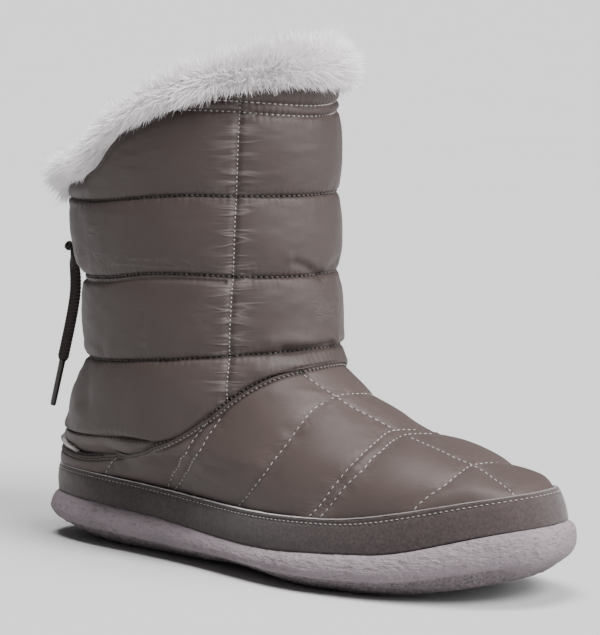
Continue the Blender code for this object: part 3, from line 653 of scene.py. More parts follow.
def gathers(above, angle, seam):
    """Ripples and soft folds that the stitches of a level seam pull into the cloth beside it."""
    around = angle * MEAN_RADIUS / RIPPLE_PITCH
    wave = np.cos(2 * np.pi * around + 1.3 * noise(around[..., None], 5.0, seam))
    strength = 0.6 + 0.4 * noise(around[..., None], 3.0, seam + 30)
    fade = np.exp(-(above / 0.0026)**2)
    side = np.where(above > 0, 7.5, 2.5)
    where = np.stack([angle * MEAN_RADIUS + above * 0.35, side], axis=-1)
    fold = noise(where, 0.0062, seam + 50) + 0.6 * noise(where, 0.0031, seam + 70)
    reach = np.exp(-np.abs(above) / 0.0065) * smooth(np.abs(above) / 0.0016)
    groove = -SEAM_GROOVE * np.exp(-(above / 0.0008)**2)
    return groove + 0.00026 * wave * strength * fade + 0.00042 * fold * reach


def shaft_surface(level, angle):
    """The dressed shaft's outer surface."""
    base = ring_point(level, angle)
    return base + outward(level, angle) * shaft_relief(level, angle, base)[..., None]


# ---------------------------------------------------------------- pieces
def dress(obj, material, replaced=()):
    """Every piece is linked, ridden and given its material here."""
    if obj.name not in bpy.context.scene.collection.objects:
        bpy.context.scene.collection.objects.link(obj)
    obj.data.materials.clear()
    obj.data.materials.append(material)
    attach(obj, "root")
    if replaced:
        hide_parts(*replaced)
    return obj


def mesh_object(name, points, faces):
    mesh = bpy.data.meshes.new(name)
    mesh.from_pydata(np.asarray(points).reshape(-1, 3).tolist(), [], faces)
    mesh.polygons.foreach_set("use_smooth", np.ones(len(mesh.polygons), dtype=bool))
    mesh.update()
    return bpy.data.objects.new(name, mesh)


def grid_object(name, points, closed=True, inward=False, keep=None):
    """A grid of points as one mesh: closed joins its last column to its first."""
    index = np.arange(points[..., 0].size).reshape(points.shape[:2])
    after = np.roll(index, -1, axis=1)
    quads = np.stack([index[:-1], index[1:], after[1:], after[:-1]], axis=-1)
    if not closed:
        quads = quads[:, :-1]
    if inward:
        quads = quads[..., ::-1]
    if keep is not None:
        quads = quads[keep]
    return mesh_object(name, points, quads.reshape(-1, 4).tolist())


def joined(name, points, faces):
    """One mesh from many shapes of equal form: points (n, v, 3), and faces (f, k) of one."""
    count, size = points.shape[:2]
    offsets = np.arange(count)[:, None, None] * size
    every = (faces[None] + offsets).reshape(-1, faces.shape[1])
    return mesh_object(name, points, every.tolist())


def float_attribute(obj, name, values):
    layer = obj.data.attributes.new(name, "FLOAT", "POINT")
    layer.data.foreach_set("value", np.asarray(values, dtype=np.float32).ravel())


# ---------------------------------------------------------------- materials
class Nodes:
    """Short ways to add and join the nodes of one material."""

    def __init__(self, name):
        self.material = bpy.data.materials.new(name)
        self.material.use_nodes = True
        self.tree = self.material.node_tree
        self.shader = self.tree.nodes["Principled BSDF"]
        self.place = self.add("ShaderNodeTexCoord", "Object")

    def feed(self, socket, value):
        """Join a socket to another one, or give it a number, a colour or a vector."""
        if isinstance(value, bpy.types.NodeSocket):
            self.tree.links.new(value, socket)
        elif socket.type == "RGBA":
            socket.default_value = (*value, 1.0)
        else:
            socket.default_value = value

    def add(self, kind, output, inputs=(), **settings):
        """A node with its settings and inputs; gives back its output socket."""
        node = self.tree.nodes.new(kind)
        for key, value in settings.items():
            setattr(node, key, value)
        for name, value in dict(inputs).items():
            self.feed(node.inputs[name], value)
        return node.outputs[output]

    def attribute(self, name):
        return self.add("ShaderNodeAttribute", "Fac", attribute_name=name)

    def noise(self, scale, detail=3.0, rough=0.5, stretch=None, distortion=0.0):
        place = self.place
        if stretch:
            place = self.add("ShaderNodeMapping", "Vector", {"Scale": stretch, "Vector": place})
        return self.add("ShaderNodeTexNoise", "Fac", {
            "Scale": scale, "Detail": detail, "Roughness": rough, "Distortion": distortion,
            "Vector": place})

    def ridges(self, scale, stretch, sharpness, distortion=0.3):
        """Thin lines where a noise passes its middle value, from 0 to 1."""
        wave = self.noise(scale, 2.0, 0.5, stretch, distortion)
        off = self.math("ABSOLUTE", self.math("SUBTRACT", wave, 0.5))
        falling = self.math("SUBTRACT", 1.0, self.math("MULTIPLY", off, sharpness))
        return self.math("MAXIMUM", falling, 0.0)

    def weave(self, scale):
        """Warp and weft threads, one wave across the other."""
        threads = [self.add("ShaderNodeTexWave", "Fac", {
            "Scale": scale, "Distortion": 0.4, "Detail": 1.0, "Vector": self.place},
            bands_direction=direction) for direction in "ZX"]
        return self.math("MULTIPLY", *threads)

    def math(self, operation, first, second=0.0):
        return self.add("ShaderNodeMath", "Value", {0: first, 1: second}, operation=operation)

    def ramp(self, factor, *stops):
        node = self.tree.nodes.new("ShaderNodeValToRGB")
        elements = node.color_ramp.elements
        while len(elements) < len(stops):
            elements.new(0.5)
        for element, (position, colour) in zip(elements, stops):
            element.position = position
            element.color = (*colour, 1.0)
        self.feed(node.inputs["Fac"], factor)
        return node.outputs["Color"]

    def mask(self, factor, black, white, top=1.0):
        """A noise cut into spots: 0 up to black, and top from white on."""
        return self.ramp(factor, (black, (0.0,) * 3), (white, (top,) * 3))

    def tint(self, colour, mask, share, other):
        """A colour with a share of another one laid over it by a mask."""
        factor = self.math("MULTIPLY", mask, share)
        return self.add("ShaderNodeMix", "Result", {"Factor": factor, "A": colour, "B": other},
                        data_type="RGBA")

    def bump(self, height, distance, strength=0.5, under=None):
        inputs = {"Distance": distance, "Strength": strength, "Height": height}
        if under is not None:
            inputs["Normal"] = under
        return self.add("ShaderNodeBump", "Normal", inputs)

    def finish(self, colour, roughness, normal=None, sheen=0.0, **others):
        inputs = {"Base Color": colour, "Roughness": roughness, "Sheen Weight": sheen}
        if normal is not None:
            inputs["Normal"] = normal
        for name, value in others.items():
            inputs[name.replace("_", " ")] = value
        for name, value in inputs.items():
            self.feed(self.shader.inputs[name], value)
        return self.material


# the cloth's darker and paler patches and its dark flecks
SHELL_COLOURS = ((0.051, 0.0362, 0.0332), (0.064, 0.0462, 0.0425), (0.036, 0.0260, 0.0238))
# painted highlight: the paler colour laid along the cloth's fold lines
PAINTED_FOLD_HIGHLIGHT = (0.150, 0.128, 0.122)


def shell_material(name, shade):
    """Closely woven quilt cloth with a slight sheen, finely creased where the seams pull it, with
    painted highlights laid along its fold lines.
    """
    n = Nodes(name)
    # painted light: shade scales every colour of the cloth, darker for the shaft's copy and paler
    # for the foot part's
    dark, pale, fleck = (tuple(shade * part for part in colour) for colour in SHELL_COLOURS)
    fine = n.noise(420.0, 3.0, 0.6, (1.0, 1.0, 2.2))
    colour = n.ramp(n.noise(24.0), (0.30, dark), (0.72, pale))
    colour = n.tint(colour, fine, 0.30, fleck)
    normal = n.bump(n.weave(620.0), 0.00006, 0.35)
    normal = n.bump(fine, 0.00010, 0.45, normal)
    level_lines = n.ridges(175.0, (0.16, 0.16, 1.0), 13.0, 0.2)
    upright_lines = n.ridges(210.0, (1.0, 1.0, 0.14), 8.0)
    crinkles = n.ridges(300.0, (0.30, 0.30, 1.0), 10.0, 0.5)
    # the last column is the share of painted highlight laid on each set of fold lines
    for mask, lines, depth, fold_highlight in (("side_pull", level_lines, 0.00060, 0.50),
                                       ("level_pull", upright_lines, 0.00022, 0.0),
                                       ("seam_pull", crinkles, 0.00016, 0.25),
                                       ("crinkle", crinkles, 0.00030, 0.22)):
        fold = n.math("MULTIPLY", lines, n.attribute(mask))
        normal = n.bump(fold, depth, 0.9, normal)
        if fold_highlight:
            colour = n.tint(colour, fold, fold_highlight, PAINTED_FOLD_HIGHLIGHT)
    rough = n.math("ADD", n.math("MULTIPLY", fine, 0.14), 0.50)
    return n.finish(colour, rough, normal, 0.05, Sheen_Roughness=0.40, Specular_IOR_Level=0.34)


def suede_material():
    """Napped suede, mottled at two sizes, with painted light making it paler at the heel and the
    toe.
    """
    n = Nodes("suede")
    nap = n.noise(700.0, 5.0, 0.75)
    colour = n.ramp(nap, (0.34, (0.024, 0.017, 0.017)), (0.54, (0.044, 0.0325, 0.032)),
                    (0.74, (0.068, 0.053, 0.052)))
    colour = n.tint(colour, n.noise(38.0, 4.0, 0.6), 0.30, (0.030, 0.022, 0.022))
    # painted light: paler at the heel and the toe
    colour = n.tint(colour, n.attribute("painted_lightness"), 0.36, (0.105, 0.083, 0.082))
    return n.finish(colour, 0.92, n.bump(nap, 0.00035, 0.55), 0.28, Specular_IOR_Level=0.15)


def sole_material():
    """Crepe sole: fine crumbs and pits, more pits near its lower edge."""
    n = Nodes("sole")
    crumb = n.noise(420.0, 5.0, 0.72, None, 0.8)
    wisps = n.noise(900.0, 2.0, 0.55, (0.30, 0.45, 1.0), 0.5)
    grit = n.ramp(n.noise(900.0, 3.0, 0.7), (0.42, (0.90,) * 3), (0.58, (0.20,) * 3))
    colour = n.ramp(n.noise(30.0, 4.0, 0.6), (0.30, (0.190, 0.159, 0.174)),
                    (0.72, (0.252, 0.211, 0.229)))
    colour = n.tint(colour, n.mask(wisps, 0.58, 0.64), 0.36, (0.075, 0.060, 0.062))
    colour = n.tint(colour, n.mask(crumb, 0.56, 0.78, 0.4), 1.0, (0.40, 0.365, 0.38))
    colour = n.tint(colour, n.attribute("low"), grit, (0.090, 0.076, 0.077))
    normal = n.bump(wisps, 0.0010, 0.8, n.bump(crumb, 0.0008, 0.8))
    return n.finish(colour, 0.86, normal, Specular_IOR_Level=0.25)


def fur_material():
    """Pile with painted shade: darker at the root, nearly white at the tip."""
    n = Nodes("fur")
    # painted shade: the tone darkens from the tip down to the root
    colour = n.ramp(n.attribute("along"), (0.0, (0.74, 0.70, 0.69)), (0.40, (0.90, 0.86, 0.87)),
                    (1.0, (0.97, 0.945, 0.96)))
    colour = n.tint(colour, n.noise(70.0, 3.0, 0.6), 0.20, (0.80, 0.76, 0.77))
    return n.finish(colour, 0.80, None, 0.70, Specular_IOR_Level=0.15)


def fleece_material():
    n = Nodes("fleece")
    curls = n.noise(310.0, 4.0, 0.65, None, 1.2)
    colour = n.ramp(curls, (0.32, (0.34, 0.31, 0.31)), (0.60, (0.66, 0.625, 0.625)))
    colour = n.tint(colour, n.noise(60.0), 0.3, (0.50, 0.465, 0.465))
    return n.finish(colour, 0.95, n.bump(curls, 0.0011, 0.8), 0.35, Specular_IOR_Level=0.1)


def thread_material(name, colour):
    n = Nodes(name)
    twist = n.noise(900.0, 2.0)
    tone = n.tint(colour, twist, 0.5, tuple(0.55 * part for part in colour))
    return n.finish(tone, 0.7, n.bump(twist, 0.0002), 0.2)


def cut_edge_material():
    """Cut suede edge, with painted light making it nearly white round the heel and dark towards
    the toe.
    """
    n = Nodes("cut_edge")
    fray = n.noise(900.0)
    # painted light: dark at the toe, nearly white round the heel
    tone = n.ramp(n.attribute("painted_lightness"), (0.0, (0.13, 0.112, 0.11)), (1.0, (0.97, 0.94, 0.93)))
    tone = n.tint(tone, fray, 0.3, (0.24, 0.21, 0.205))
    return n.finish(tone, 0.8, n.bump(fray, 0.0002), 0.2)


def lace_material():
    """Flat braid: two slanted sets of threads, from the ribbon's own coordinates."""
    n = Nodes("lace")
    ribbon_place = n.add("ShaderNodeUVMap", "UV", uv_map="lace")
    up, over = (n.add("ShaderNodeSeparateXYZ", axis, {"Vector": ribbon_place}) for axis in "XY")
    braid = n.math("MAXIMUM", *(n.math("SINE", n.math(slant, up, over))
                                for slant in ("ADD", "SUBTRACT")))
    fuzz = n.noise(800.0)
    shade = n.math("ADD", n.math("MULTIPLY", braid, 0.35), n.math("MULTIPLY", fuzz, 0.4))
    colour = n.ramp(shade, (0.0, (0.011, 0.0075, 0.007)), (0.75, (0.046, 0.033, 0.031)))
    normal = n.bump(braid, 0.00018, 0.8, n.bump(fuzz, 0.0002))
    return n.finish(colour, 0.82, normal, 0.15, Specular_IOR_Level=0.25)


def tape_material():
    n = Nodes("tape")
    tone = n.ramp(n.attribute("fold"), (0.30, (0.21, 0.20, 0.20)), (0.55, (0.48, 0.45, 0.44)))
    return n.finish(tone, 0.75, n.bump(n.weave(500.0), 0.0001), 0.2)


def metal_material():
    n = Nodes("eyelet_metal")
    wear = n.noise(300.0, 4.0)
    tone = n.ramp(wear, (0.35, (0.055, 0.048, 0.045)), (0.7, (0.16, 0.14, 0.13)))
    rough = n.math("ADD", n.math("MULTIPLY", wear, 0.2), 0.28)
    return n.finish(tone, rough, n.bump(wear, 0.00005, 0.3), Metallic=0.9)


def aglet_material():
    n = Nodes("aglet")
    wrap = n.noise(500.0)
    tone = n.ramp(wrap, (0.3, (0.018, 0.013, 0.013)), (0.7, (0.042, 0.032, 0.031)))
    return n.finish(tone, 0.42, n.bump(wrap, 0.0001, 0.4))


def floor_material():
    n = Nodes("floor")
    tone = n.ramp(n.noise(3.0, 2.0), (0.3, (0.51,) * 3), (0.7, (0.52,) * 3))
    return n.finish(tone, 0.9, None, Specular_IOR_Level=0.1)


# painted light: two copies of the same cloth, the shaft's painted darker and the foot part's
# painted paler
SHAFT_SHELL = shell_material("shaft_shell", 0.87)
FOOT_SHELL = shell_material("foot_shell", 1.08)
SUEDE = suede_material()
SOLE = sole_material()
FUR = fur_material()
FLEECE = fleece_material()
LIGHT_THREAD = thread_material("light_thread", (0.38, 0.35, 0.342))
DARK_THREAD = thread_material("dark_thread", (0.042, 0.032, 0.031))
MIXED_THREAD = thread_material("mixed_thread", (0.105, 0.088, 0.085))
CUT_EDGE = cut_edge_material()
RAND_THREAD = thread_material("rand_thread", (0.29, 0.262, 0.255))
LACE = lace_material()
TAPE = tape_material()
METAL = metal_material()
AGLET = aglet_material()


# ---------------------------------------------------------------- foot part
def stretched(count, crowding):
    """Shares from 0 to 1 that lie closer together near both ends."""
    t = np.linspace(0, 1, count)
    return t - crowding / (2 * np.pi) * np.sin(2 * np.pi * t)


FOOT_COLUMNS = 520
SHAFT_COLUMNS = 450
LINING_COLUMNS = 260
SLIT_COLUMNS = 10


def foot_angles(count):
    turn = np.arange(count) / count
    return 2 * np.pi * turn - 0.06 * np.sin(4 * np.pi * turn)


def build_upper():
    """Quilted cloth of the foot part."""
    angle = foot_angles(FOOT_COLUMNS)
    levels = np.concatenate([[0.55, 0.75], np.linspace(0.9, 2.0, 20)[:-1],
                             np.linspace(2.0, 6.6, 84)[:-1], np.linspace(6.6, 7.0, 12)])
    places = np.meshgrid(levels, angle, indexing="ij")
    points = foot_surface(*places)
    # the cloth turns in under the shaft
    top = points[-1]
    out = outward(BORDER, angle)
    tucks = [top - out * depth + np.array([0, 0, drop])
             for depth, drop in ((0.0010, 0.0004), (0.0026, 0.0004), (0.0040, -0.0004))]
    points = np.concatenate([points, np.stack(tucks)])
    obj = grid_object("quilted_upper", points)
    pull = foot_pull(*places)
    float_attribute(obj, "seam_pull", np.concatenate([pull, pull[-len(tucks):]]))
    dress(obj, FOOT_SHELL, ("upper",))


def shaft_grid(levels, surface, columns):
    """Points round the shaft at levels: columns from slit edge to slit edge, then the gap."""
    rows = []
    for level in levels:
        start = float(slit_angle(level))
        turn = np.linspace(start, 2 * np.pi - start, columns + 1)
        gap = np.linspace(2 * np.pi - start, 2 * np.pi + start, SLIT_COLUMNS + 2)[1:-1]
        rows.append(np.concatenate([turn, gap]))
    angle = np.array(rows)
    level = np.repeat(np.asarray(levels)[:, None], angle.shape[1], axis=1)
    return surface(level, angle), level, angle


def below_slit(points):
    """Which faces of the grid to keep: all but the slit's own columns above its lower end."""
    keep = np.ones((points.shape[0] - 1, points.shape[1]), dtype=bool)
    open_rows = points[:-1, 0, 2] > SLIT_BOTTOM_Z - 0.001
    keep[open_rows, -SLIT_COLUMNS - 1:] = False
    return keep


def shaft_levels():
    levels = []
    for band in range(BORDER, TOP_LEVEL_SEAM):
        levels.append(band + stretched(45, 0.72)[:-1])
    levels.append(TOP_LEVEL_SEAM + np.linspace(0, 1, 76))
    return np.concatenate(levels)


def build_shaft():
    """Quilted cloth of the shaft, open at the slit."""
    points, level, angle = shaft_grid(shaft_levels(), shaft_surface, SHAFT_COLUMNS)
    pulls = shaft_pulls(level, angle)
    # a short hem turns in under the shaft's lower edge
    base = points[0]
    centre = base.mean(axis=0)
    hem = base + unit(centre - base) * 0.003 * np.array([1, 1, 0]) + np.array([0, 0, 0.0004])
    points = np.concatenate([hem[None], points])
    obj = grid_object("quilted_shaft", points, keep=below_slit(points))
    for name, values in pulls.items():
        float_attribute(obj, name, np.concatenate([values[:1], values]))
    dress(obj, SHAFT_SHELL, ("shaft",))


def lining_surface(level, angle):
    """The fleece's surface: a wall's thickness inside the rings, and curled."""
    base = ring_point(level, angle)
    wall = UPPER_WALL + (SHAFT_WALL - UPPER_WALL) * smooth((level - 6.5) / 0.5)
    curl = uneven(base, (0.0006, 0.0035, 41), (0.0005, 0.007, 42))
    upright = smooth(level - 6.0)[..., None]
    out = unit(outward(level, angle) * upright + ring_normal(level, angle) * (1 - upright))
    return base - out * (wall + 0.0002 - curl)[..., None]


def build_lining():
    """Fleece inside the foot part and the shaft."""
    levels = np.concatenate([np.linspace(0.35, 7, 60), np.linspace(7, 11, 56)[1:]])
    points = shaft_grid(levels, lining_surface, LINING_COLUMNS)[0]
    obj = grid_object("fleece_lining", points, inward=True, keep=below_slit(points))
    dress(obj, FLEECE)


def build_slit_facings():
    """Turned edges of the slit, from the outer cloth round to the lining."""
    levels = np.linspace(7.0, 11.0, 241)
    levels = levels[ring_at(levels)["back_z"] > SLIT_BOTTOM_Z - 0.001]
    start = slit_angle(levels)
    strips = []
    for sign in (1, -1):
        angle = start * sign % (2 * np.pi)
        outer = shaft_surface(levels, angle)
        out = outward(levels, angle)
        inner = ring_point(levels, angle) - out * (SHAFT_WALL + 0.0004)
        aside = np.array([0.0, -sign, 0.0])
        rows = []
        for turn in np.linspace(0, np.pi, 9):
            share = (1 - math.cos(turn)) / 2
            bulge = 0.0010 * math.sin(turn)
            rows.append(outer + (inner - outer) * share + aside * bulge)
        lip = outer - aside * 0.0022 + out * 0.0003
        rows = [lip] + rows
        points = np.stack(rows)
        strips.append(grid_object(f"slit_facing_{'inner' if sign > 0 else 'outer'}", points,
                                  closed=False, inward=sign > 0))
    for strip in strips:
        dress(strip, SHAFT_SHELL)


# ---------------------------------------------------------------- stitches
# distances from one stitch to the next
FOOT_PITCH, SIDE_PITCH, BINDING_PITCH, BORDER_PITCH = 0.0031, 0.0019, 0.0021, 0.0025
LEVEL_PITCH, SECOND_ROW_PITCH, RIM_PITCH, RAND_PITCH = 0.0024, 0.0026, 0.0025, 0.0024
PIPING_WIDTH, PIPING_HEIGHT, PIPING_STEP = 0.0022, 0.0010, 0.00035
STITCH_SIDES = 5


def stitch_shape():
    """Points and faces of a unit stitch along X: a thread that dives in at both ends."""
    rings = ((-0.5, 0.40, -0.8), (-0.30, 1.0, 0.25), (0.30, 1.0, 0.25), (0.5, 0.40, -0.8))
    turns = np.arange(STITCH_SIDES) / STITCH_SIDES * 2 * np.pi
    points = []
    for along, radius, up in rings:
        for turn in turns:
            points.append((along, radius * math.cos(turn), up + radius * math.sin(turn)))
    faces = []
    for ring in range(len(rings) - 1):
        for side in range(STITCH_SIDES):
            after = (side + 1) % STITCH_SIDES
            low = ring * STITCH_SIDES
            high = low + STITCH_SIDES
            faces.append((low + side, high + side, high + after, low + after))
    return np.array(points), np.array(faces)


STITCH_POINTS, STITCH_FACES = stitch_shape()


def stitch_frames(route, normals, pitch, start=0.0):
    """Centres, directions and normals of stitches spaced evenly along a route."""
    lengths = arc_lengths(route)
    places = np.arange(pitch / 2 + start, lengths[-1] - pitch / 4, pitch)
    before, centre, after = (at_places(places + step, lengths, route)
                             for step in (-pitch / 4, 0.0, pitch / 4))
    return centre, unit(after - before), unit(at_places(places, lengths, normals))


def stitches(frames, length, radius, seed=0):
    """Points of a row of stitches, a little uneven as sewn ones are."""
    centre, along, up = frames
    random = np.random.default_rng(100 + seed)
    across = unit(np.cross(up, along))
    twist = random.normal(0, 0.06, len(centre))[:, None]
    along = unit(along + across * twist)
    across = unit(np.cross(up, along))
    size = length * random.uniform(0.90, 1.08, len(centre))
    long, wide, high = STITCH_POINTS.T[:, None, :, None]
    return (centre[:, None] + along[:, None] * (long * size[:, None, None])
            + across[:, None] * (wide * radius) + up[:, None] * (high * radius))


def surface_route(seam, surface, lift=0.0, aside=0.0, steps=24):
    """A seam laid on a dressed surface, with its normals."""
    route = smooth_route(seam, steps)
    level, angle = route[:, 0], np.radians(route[:, 1])
    points = surface(level, angle)
    normals = unit(normal_of(surface, level, angle, 0.03, 0.01) + ring_normal(level, angle))
    if aside:
        forward = unit(np.gradient(points, axis=0))
        points = points + unit(np.cross(normals, forward)) * aside
    return points + normals * lift, normals


def build_piping():
    """The thin rolled edge of the binding, drawn in a little at every stitch."""
    route, normals = surface_route(BINDING, foot_surface)
    lengths = arc_lengths(route)
    places = np.arange(0.0, lengths[-1], PIPING_STEP)
    route, normals = (at_places(places, lengths, values) for values in (route, normals))
    forward = unit(np.gradient(route, axis=0))
    across = unit(np.cross(normals, forward))
    turns = np.linspace(-0.15, math.pi + 0.15, 9)
    waist = 1 - 0.24 * np.cos(2 * np.pi * places / BINDING_PITCH)**2
    wide = PIPING_WIDTH / 2 * waist[:, None] * np.cos(turns)
    high = PIPING_HEIGHT * waist[:, None] * np.sin(turns) - 0.0001
    points = (route[:, None] + across[:, None] * wide[..., None]
              + unit(normals)[:, None] * high[..., None])
    obj = grid_object("binding_piping", points, closed=False)
    dress(obj, SHAFT_SHELL)


def sewn(seam, surface, lift, pitch, length, radius, seed, start=0.0, aside=0.0, steps=24):
    """A row of stitches along a seam: how far it lies over and beside it, pitch and thread."""
    route, normals = surface_route(seam, surface, lift, aside, steps)
    return stitches(stitch_frames(route, normals, pitch, start), length, radius, seed)


def level_row(level, start, end, count):
    return tuple((level, angle) for angle in np.linspace(start, end, count))


def build_stitches():
    light, dark, mixed = [], [], []
    for number, seam in enumerate(FOOT_SEAMS):
        # painted shade: dark stitches in the gaps between the light ones darken the seam's groove
        dark.append(sewn(seam, foot_surface, 0.0001, FOOT_PITCH, 0.0013, 0.00017, 20 + number,
                         FOOT_PITCH / 2))
        light.append(sewn(seam, foot_surface, 0.0001, FOOT_PITCH, 0.0019, 0.00023, number))
    for number, seam in enumerate((SIDE_SEAM, INNER_SIDE_SEAM)):
        light.append(sewn(seam, shaft_surface, 0.0002, SIDE_PITCH, 0.0010, 0.00025, 40 + number,
                          steps=40))
    # binding: a paler and a dark row on the two sides of its piping, and a dark one at the border
    for aside, rows, length in ((-0.0012, mixed, 0.0012), (0.0012, dark, 0.0013)):
        rows.append(sewn(BINDING, foot_surface, 0.0006, BINDING_PITCH, length, 0.00034, 50,
                         aside=aside))
    for start, end in ((360, 266), (94, 0)):
        dark.append(sewn(level_row(6.80, start, end, 30), foot_surface, 0.0001, BORDER_PITCH,
                         0.0016, 0.00030, 51, steps=8))
    # level seams of the shaft, and the row sewn under the middle one
    for seam in (ANKLE_SEAM, MIDDLE_SEAM, TOP_LEVEL_SEAM):
        first = math.degrees(slit_angle(seam)) if seam > ANKLE_SEAM else 2.0
        dark.append(sewn(level_row(seam + 0.004, first, 360 - first, 90), shaft_surface, 0.0005,
                         LEVEL_PITCH, 0.0016, 0.00042, 60 + seam, steps=6))
    first = math.degrees(slit_angle(MIDDLE_SEAM))
    for number, (start, end) in enumerate(((first, SECOND_ROW_END),
                                           (360 - SECOND_ROW_END, 360 - first))):
        row = sewn(level_row(MIDDLE_SEAM, start, end, 40), shaft_surface, 0.0003,
                   SECOND_ROW_PITCH, 0.0016, 0.0003, 90 + number, steps=6)
        mixed.append(row - np.array([0.0, 0.0, SECOND_ROW_DROP]))
    upper_row, dark_row, between_row = rim_stitches()
    light += [upper_row, between_row]
    dark.append(dark_row)
    # rand: one row under its top edge
    rand = stitches(stitch_frames(*rand_route(), RAND_PITCH), 0.0013, 0.00021, 71)
    for name, rows, material, slot in (("light_stitches", light, LIGHT_THREAD, "shell"),
                                       ("dark_stitches", dark, DARK_THREAD, "shell"),
                                       ("binding_stitches", mixed, MIXED_THREAD, "shell"),
                                       ("rand_stitches", [rand], RAND_THREAD, "suede")):
        dress(joined(name, np.concatenate(rows), STITCH_FACES), material)


def rim_stitches():
    """The light dashed row and the dark seam under it, light between its stitches."""
    rows = []
    angle = np.radians(np.linspace(95, 265, 400))
    dark_z, light_z = rim_rows(angle)
    rim_z = ring_height(RIM, angle)
    for height, first, length, radius in ((light_z, 0.0, 0.0016, 0.00026),
                                          (dark_z, 0.0, 0.0017, 0.00042),
                                          (dark_z, RIM_PITCH / 2, 0.0012, 0.00030)):
        shown = rim_z > height + 0.0008
        turn = angle[shown]
        level = level_reaching(height[shown], lambda at: ring_height(at, turn),
                               np.full_like(turn, TOP_LEVEL_SEAM))
        points = shaft_surface(level, turn)
        out = outward(level, turn)
        frames = stitch_frames(points + out * 0.0006, out, RIM_PITCH, first)
        rows.append(stitches(frames, length, radius, len(rows) + 80))
    return rows


# ---------------------------------------------------------------- rand
RAND_SECTION = (
    # level, outward: up the outside, then back in over the top edge
    (-0.02, 0.0010), (0.0, 0.0021), (0.12, 0.0024), (0.35, 0.0027), (0.60, 0.0026),
    (0.80, 0.0024), (0.93, 0.0022), (0.99, 0.0019), (1.03, 0.0013), (1.04, 0.0006),
    (0.98, 0.0003),
)
RAND_ROW_LEVEL = 0.83


def rand_point(level, angle, lift):
    """Points that lie a lift out from the rings."""
    return ring_point(level, angle) + outward(level, angle) * np.asarray(lift)[..., None]


def build_rand():
    """Suede rand with a dent along its row of stitches."""
    angle = foot_angles(620)
    section = smooth_route(RAND_SECTION, 3)
    level, turn = np.meshgrid(section[:, 0], angle, indexing="ij")
    lift = np.repeat(section[:, 1:2], len(angle), axis=1)
    base = ring_point(level, turn)
    nap = uneven(base, (0.00008, 0.0022, 51), (0.00024, 0.011, 52))
    dent = 0.00045 * np.exp(-((level - RAND_ROW_LEVEL) / 0.06)**2)
    points = rand_point(level, turn, lift + nap - dent)
    obj = grid_object("suede_rand", points)
    # painted light on the rand: paler round the heel and, less so, at the toe
    painted_light_heel = smooth((-0.070 - base[..., 0]) / 0.050)
    painted_light_toe = 0.40 * smooth((base[..., 0] - 0.085) / 0.040)
    float_attribute(obj, "painted_lightness", painted_light_heel + painted_light_toe)
    dress(obj, SUEDE, ("rand",))


def rand_route():
    """The line of the rand's row of stitches, pressed a little into the suede."""
    angle = np.append(foot_angles(700), 2 * np.pi)
    section = np.array(RAND_SECTION[:9])
    lift = np.interp(RAND_ROW_LEVEL, section[:, 0], section[:, 1]) - 0.00008
    return rand_point(RAND_ROW_LEVEL, angle, lift), outward(RAND_ROW_LEVEL, angle)


def build_cut_edge():
    """The pale cut edge of the suede along the rand's top, frayed a little."""
    angle = foot_angles(900)
    rows = []
    for level, lift in ((1.006, 0.0020), (1.022, 0.0020), (1.034, 0.0016), (1.038, 0.0007)):
        fray = 0.00014 * noise(ring_point(level, angle), 0.0016, 61 + int(lift * 1e4))
        rows.append(rand_point(level + fray * 60, angle, lift + fray))
    points = np.stack(rows)
    obj = grid_object("rand_cut_edge", points)
    # painted light: 1 round the heel, fading out towards the toe
    float_attribute(obj, "painted_lightness", smooth((0.075 - points[..., 0]) / 0.13))
    dress(obj, CUT_EDGE)


# ---------------------------------------------------------------- sole and insole
def sole_top(x):
    """Height of the sole's upper face at places along it."""
    edge = ring_at(0.0)
    reach = GAP + RAND_THICKNESS
    share = (x - edge["back_x"] + reach) / (edge["front_x"] - edge["back_x"] + 2 * reach)
    return along_ring(edge, np.clip(share, 0, 1)) - GAP


def sole_bottom(share):
    """Height of the underside at shares of its length: arch, toe and heel are lifted."""
    arch = np.maximum(0.0, 1 - ((share - 0.48) / 0.15)**2)**2 * SOLE_ARCH_LIFT
    toe = np.maximum(0.0, (share - 0.755) / 0.245)**1.5 * SOLE_TOE_LIFT
    heel = np.maximum(0.0, (0.07 - share) / 0.07)**1.5 * SOLE_HEEL_LIFT
    return arch + toe + heel


def under_height(x, heel, toe):
    """Height of the underside at places along an outline moved out by heel and toe."""
    edge = ring_at(0.0)
    back, front = edge["back_x"] - heel, edge["front_x"] + toe
    return sole_bottom(np.clip((x - back) / (front - back), 0, 1))


def towards_spine(edge, shares, spine_from=-1.0, spine_to=1.0):
    """Rows of points at shares of the way from an edge in to the line along its middle."""
    spine = edge * np.array([1, 0, 1])
    spine[:, 0] = np.clip(spine[:, 0], spine_from, spine_to)
    return edge + (spine - edge) * np.asarray(shares)[:, None, None]


def tread(x, y):
    """Depth of the tread: wavy crosswise grooves and a plain border."""
    wave = x + 0.0022 * np.cos(y / 0.0090 * 2 * np.pi)
    groove = smooth((np.cos(wave / 0.0085 * 2 * np.pi) - 0.45) / 0.35)
    return 0.0011 * groove


def rough_layer(down):
    """How far a place down the side, 0 to 1, lies in the rough layer at the bottom."""
    return smooth((down - 0.57) / 0.05)


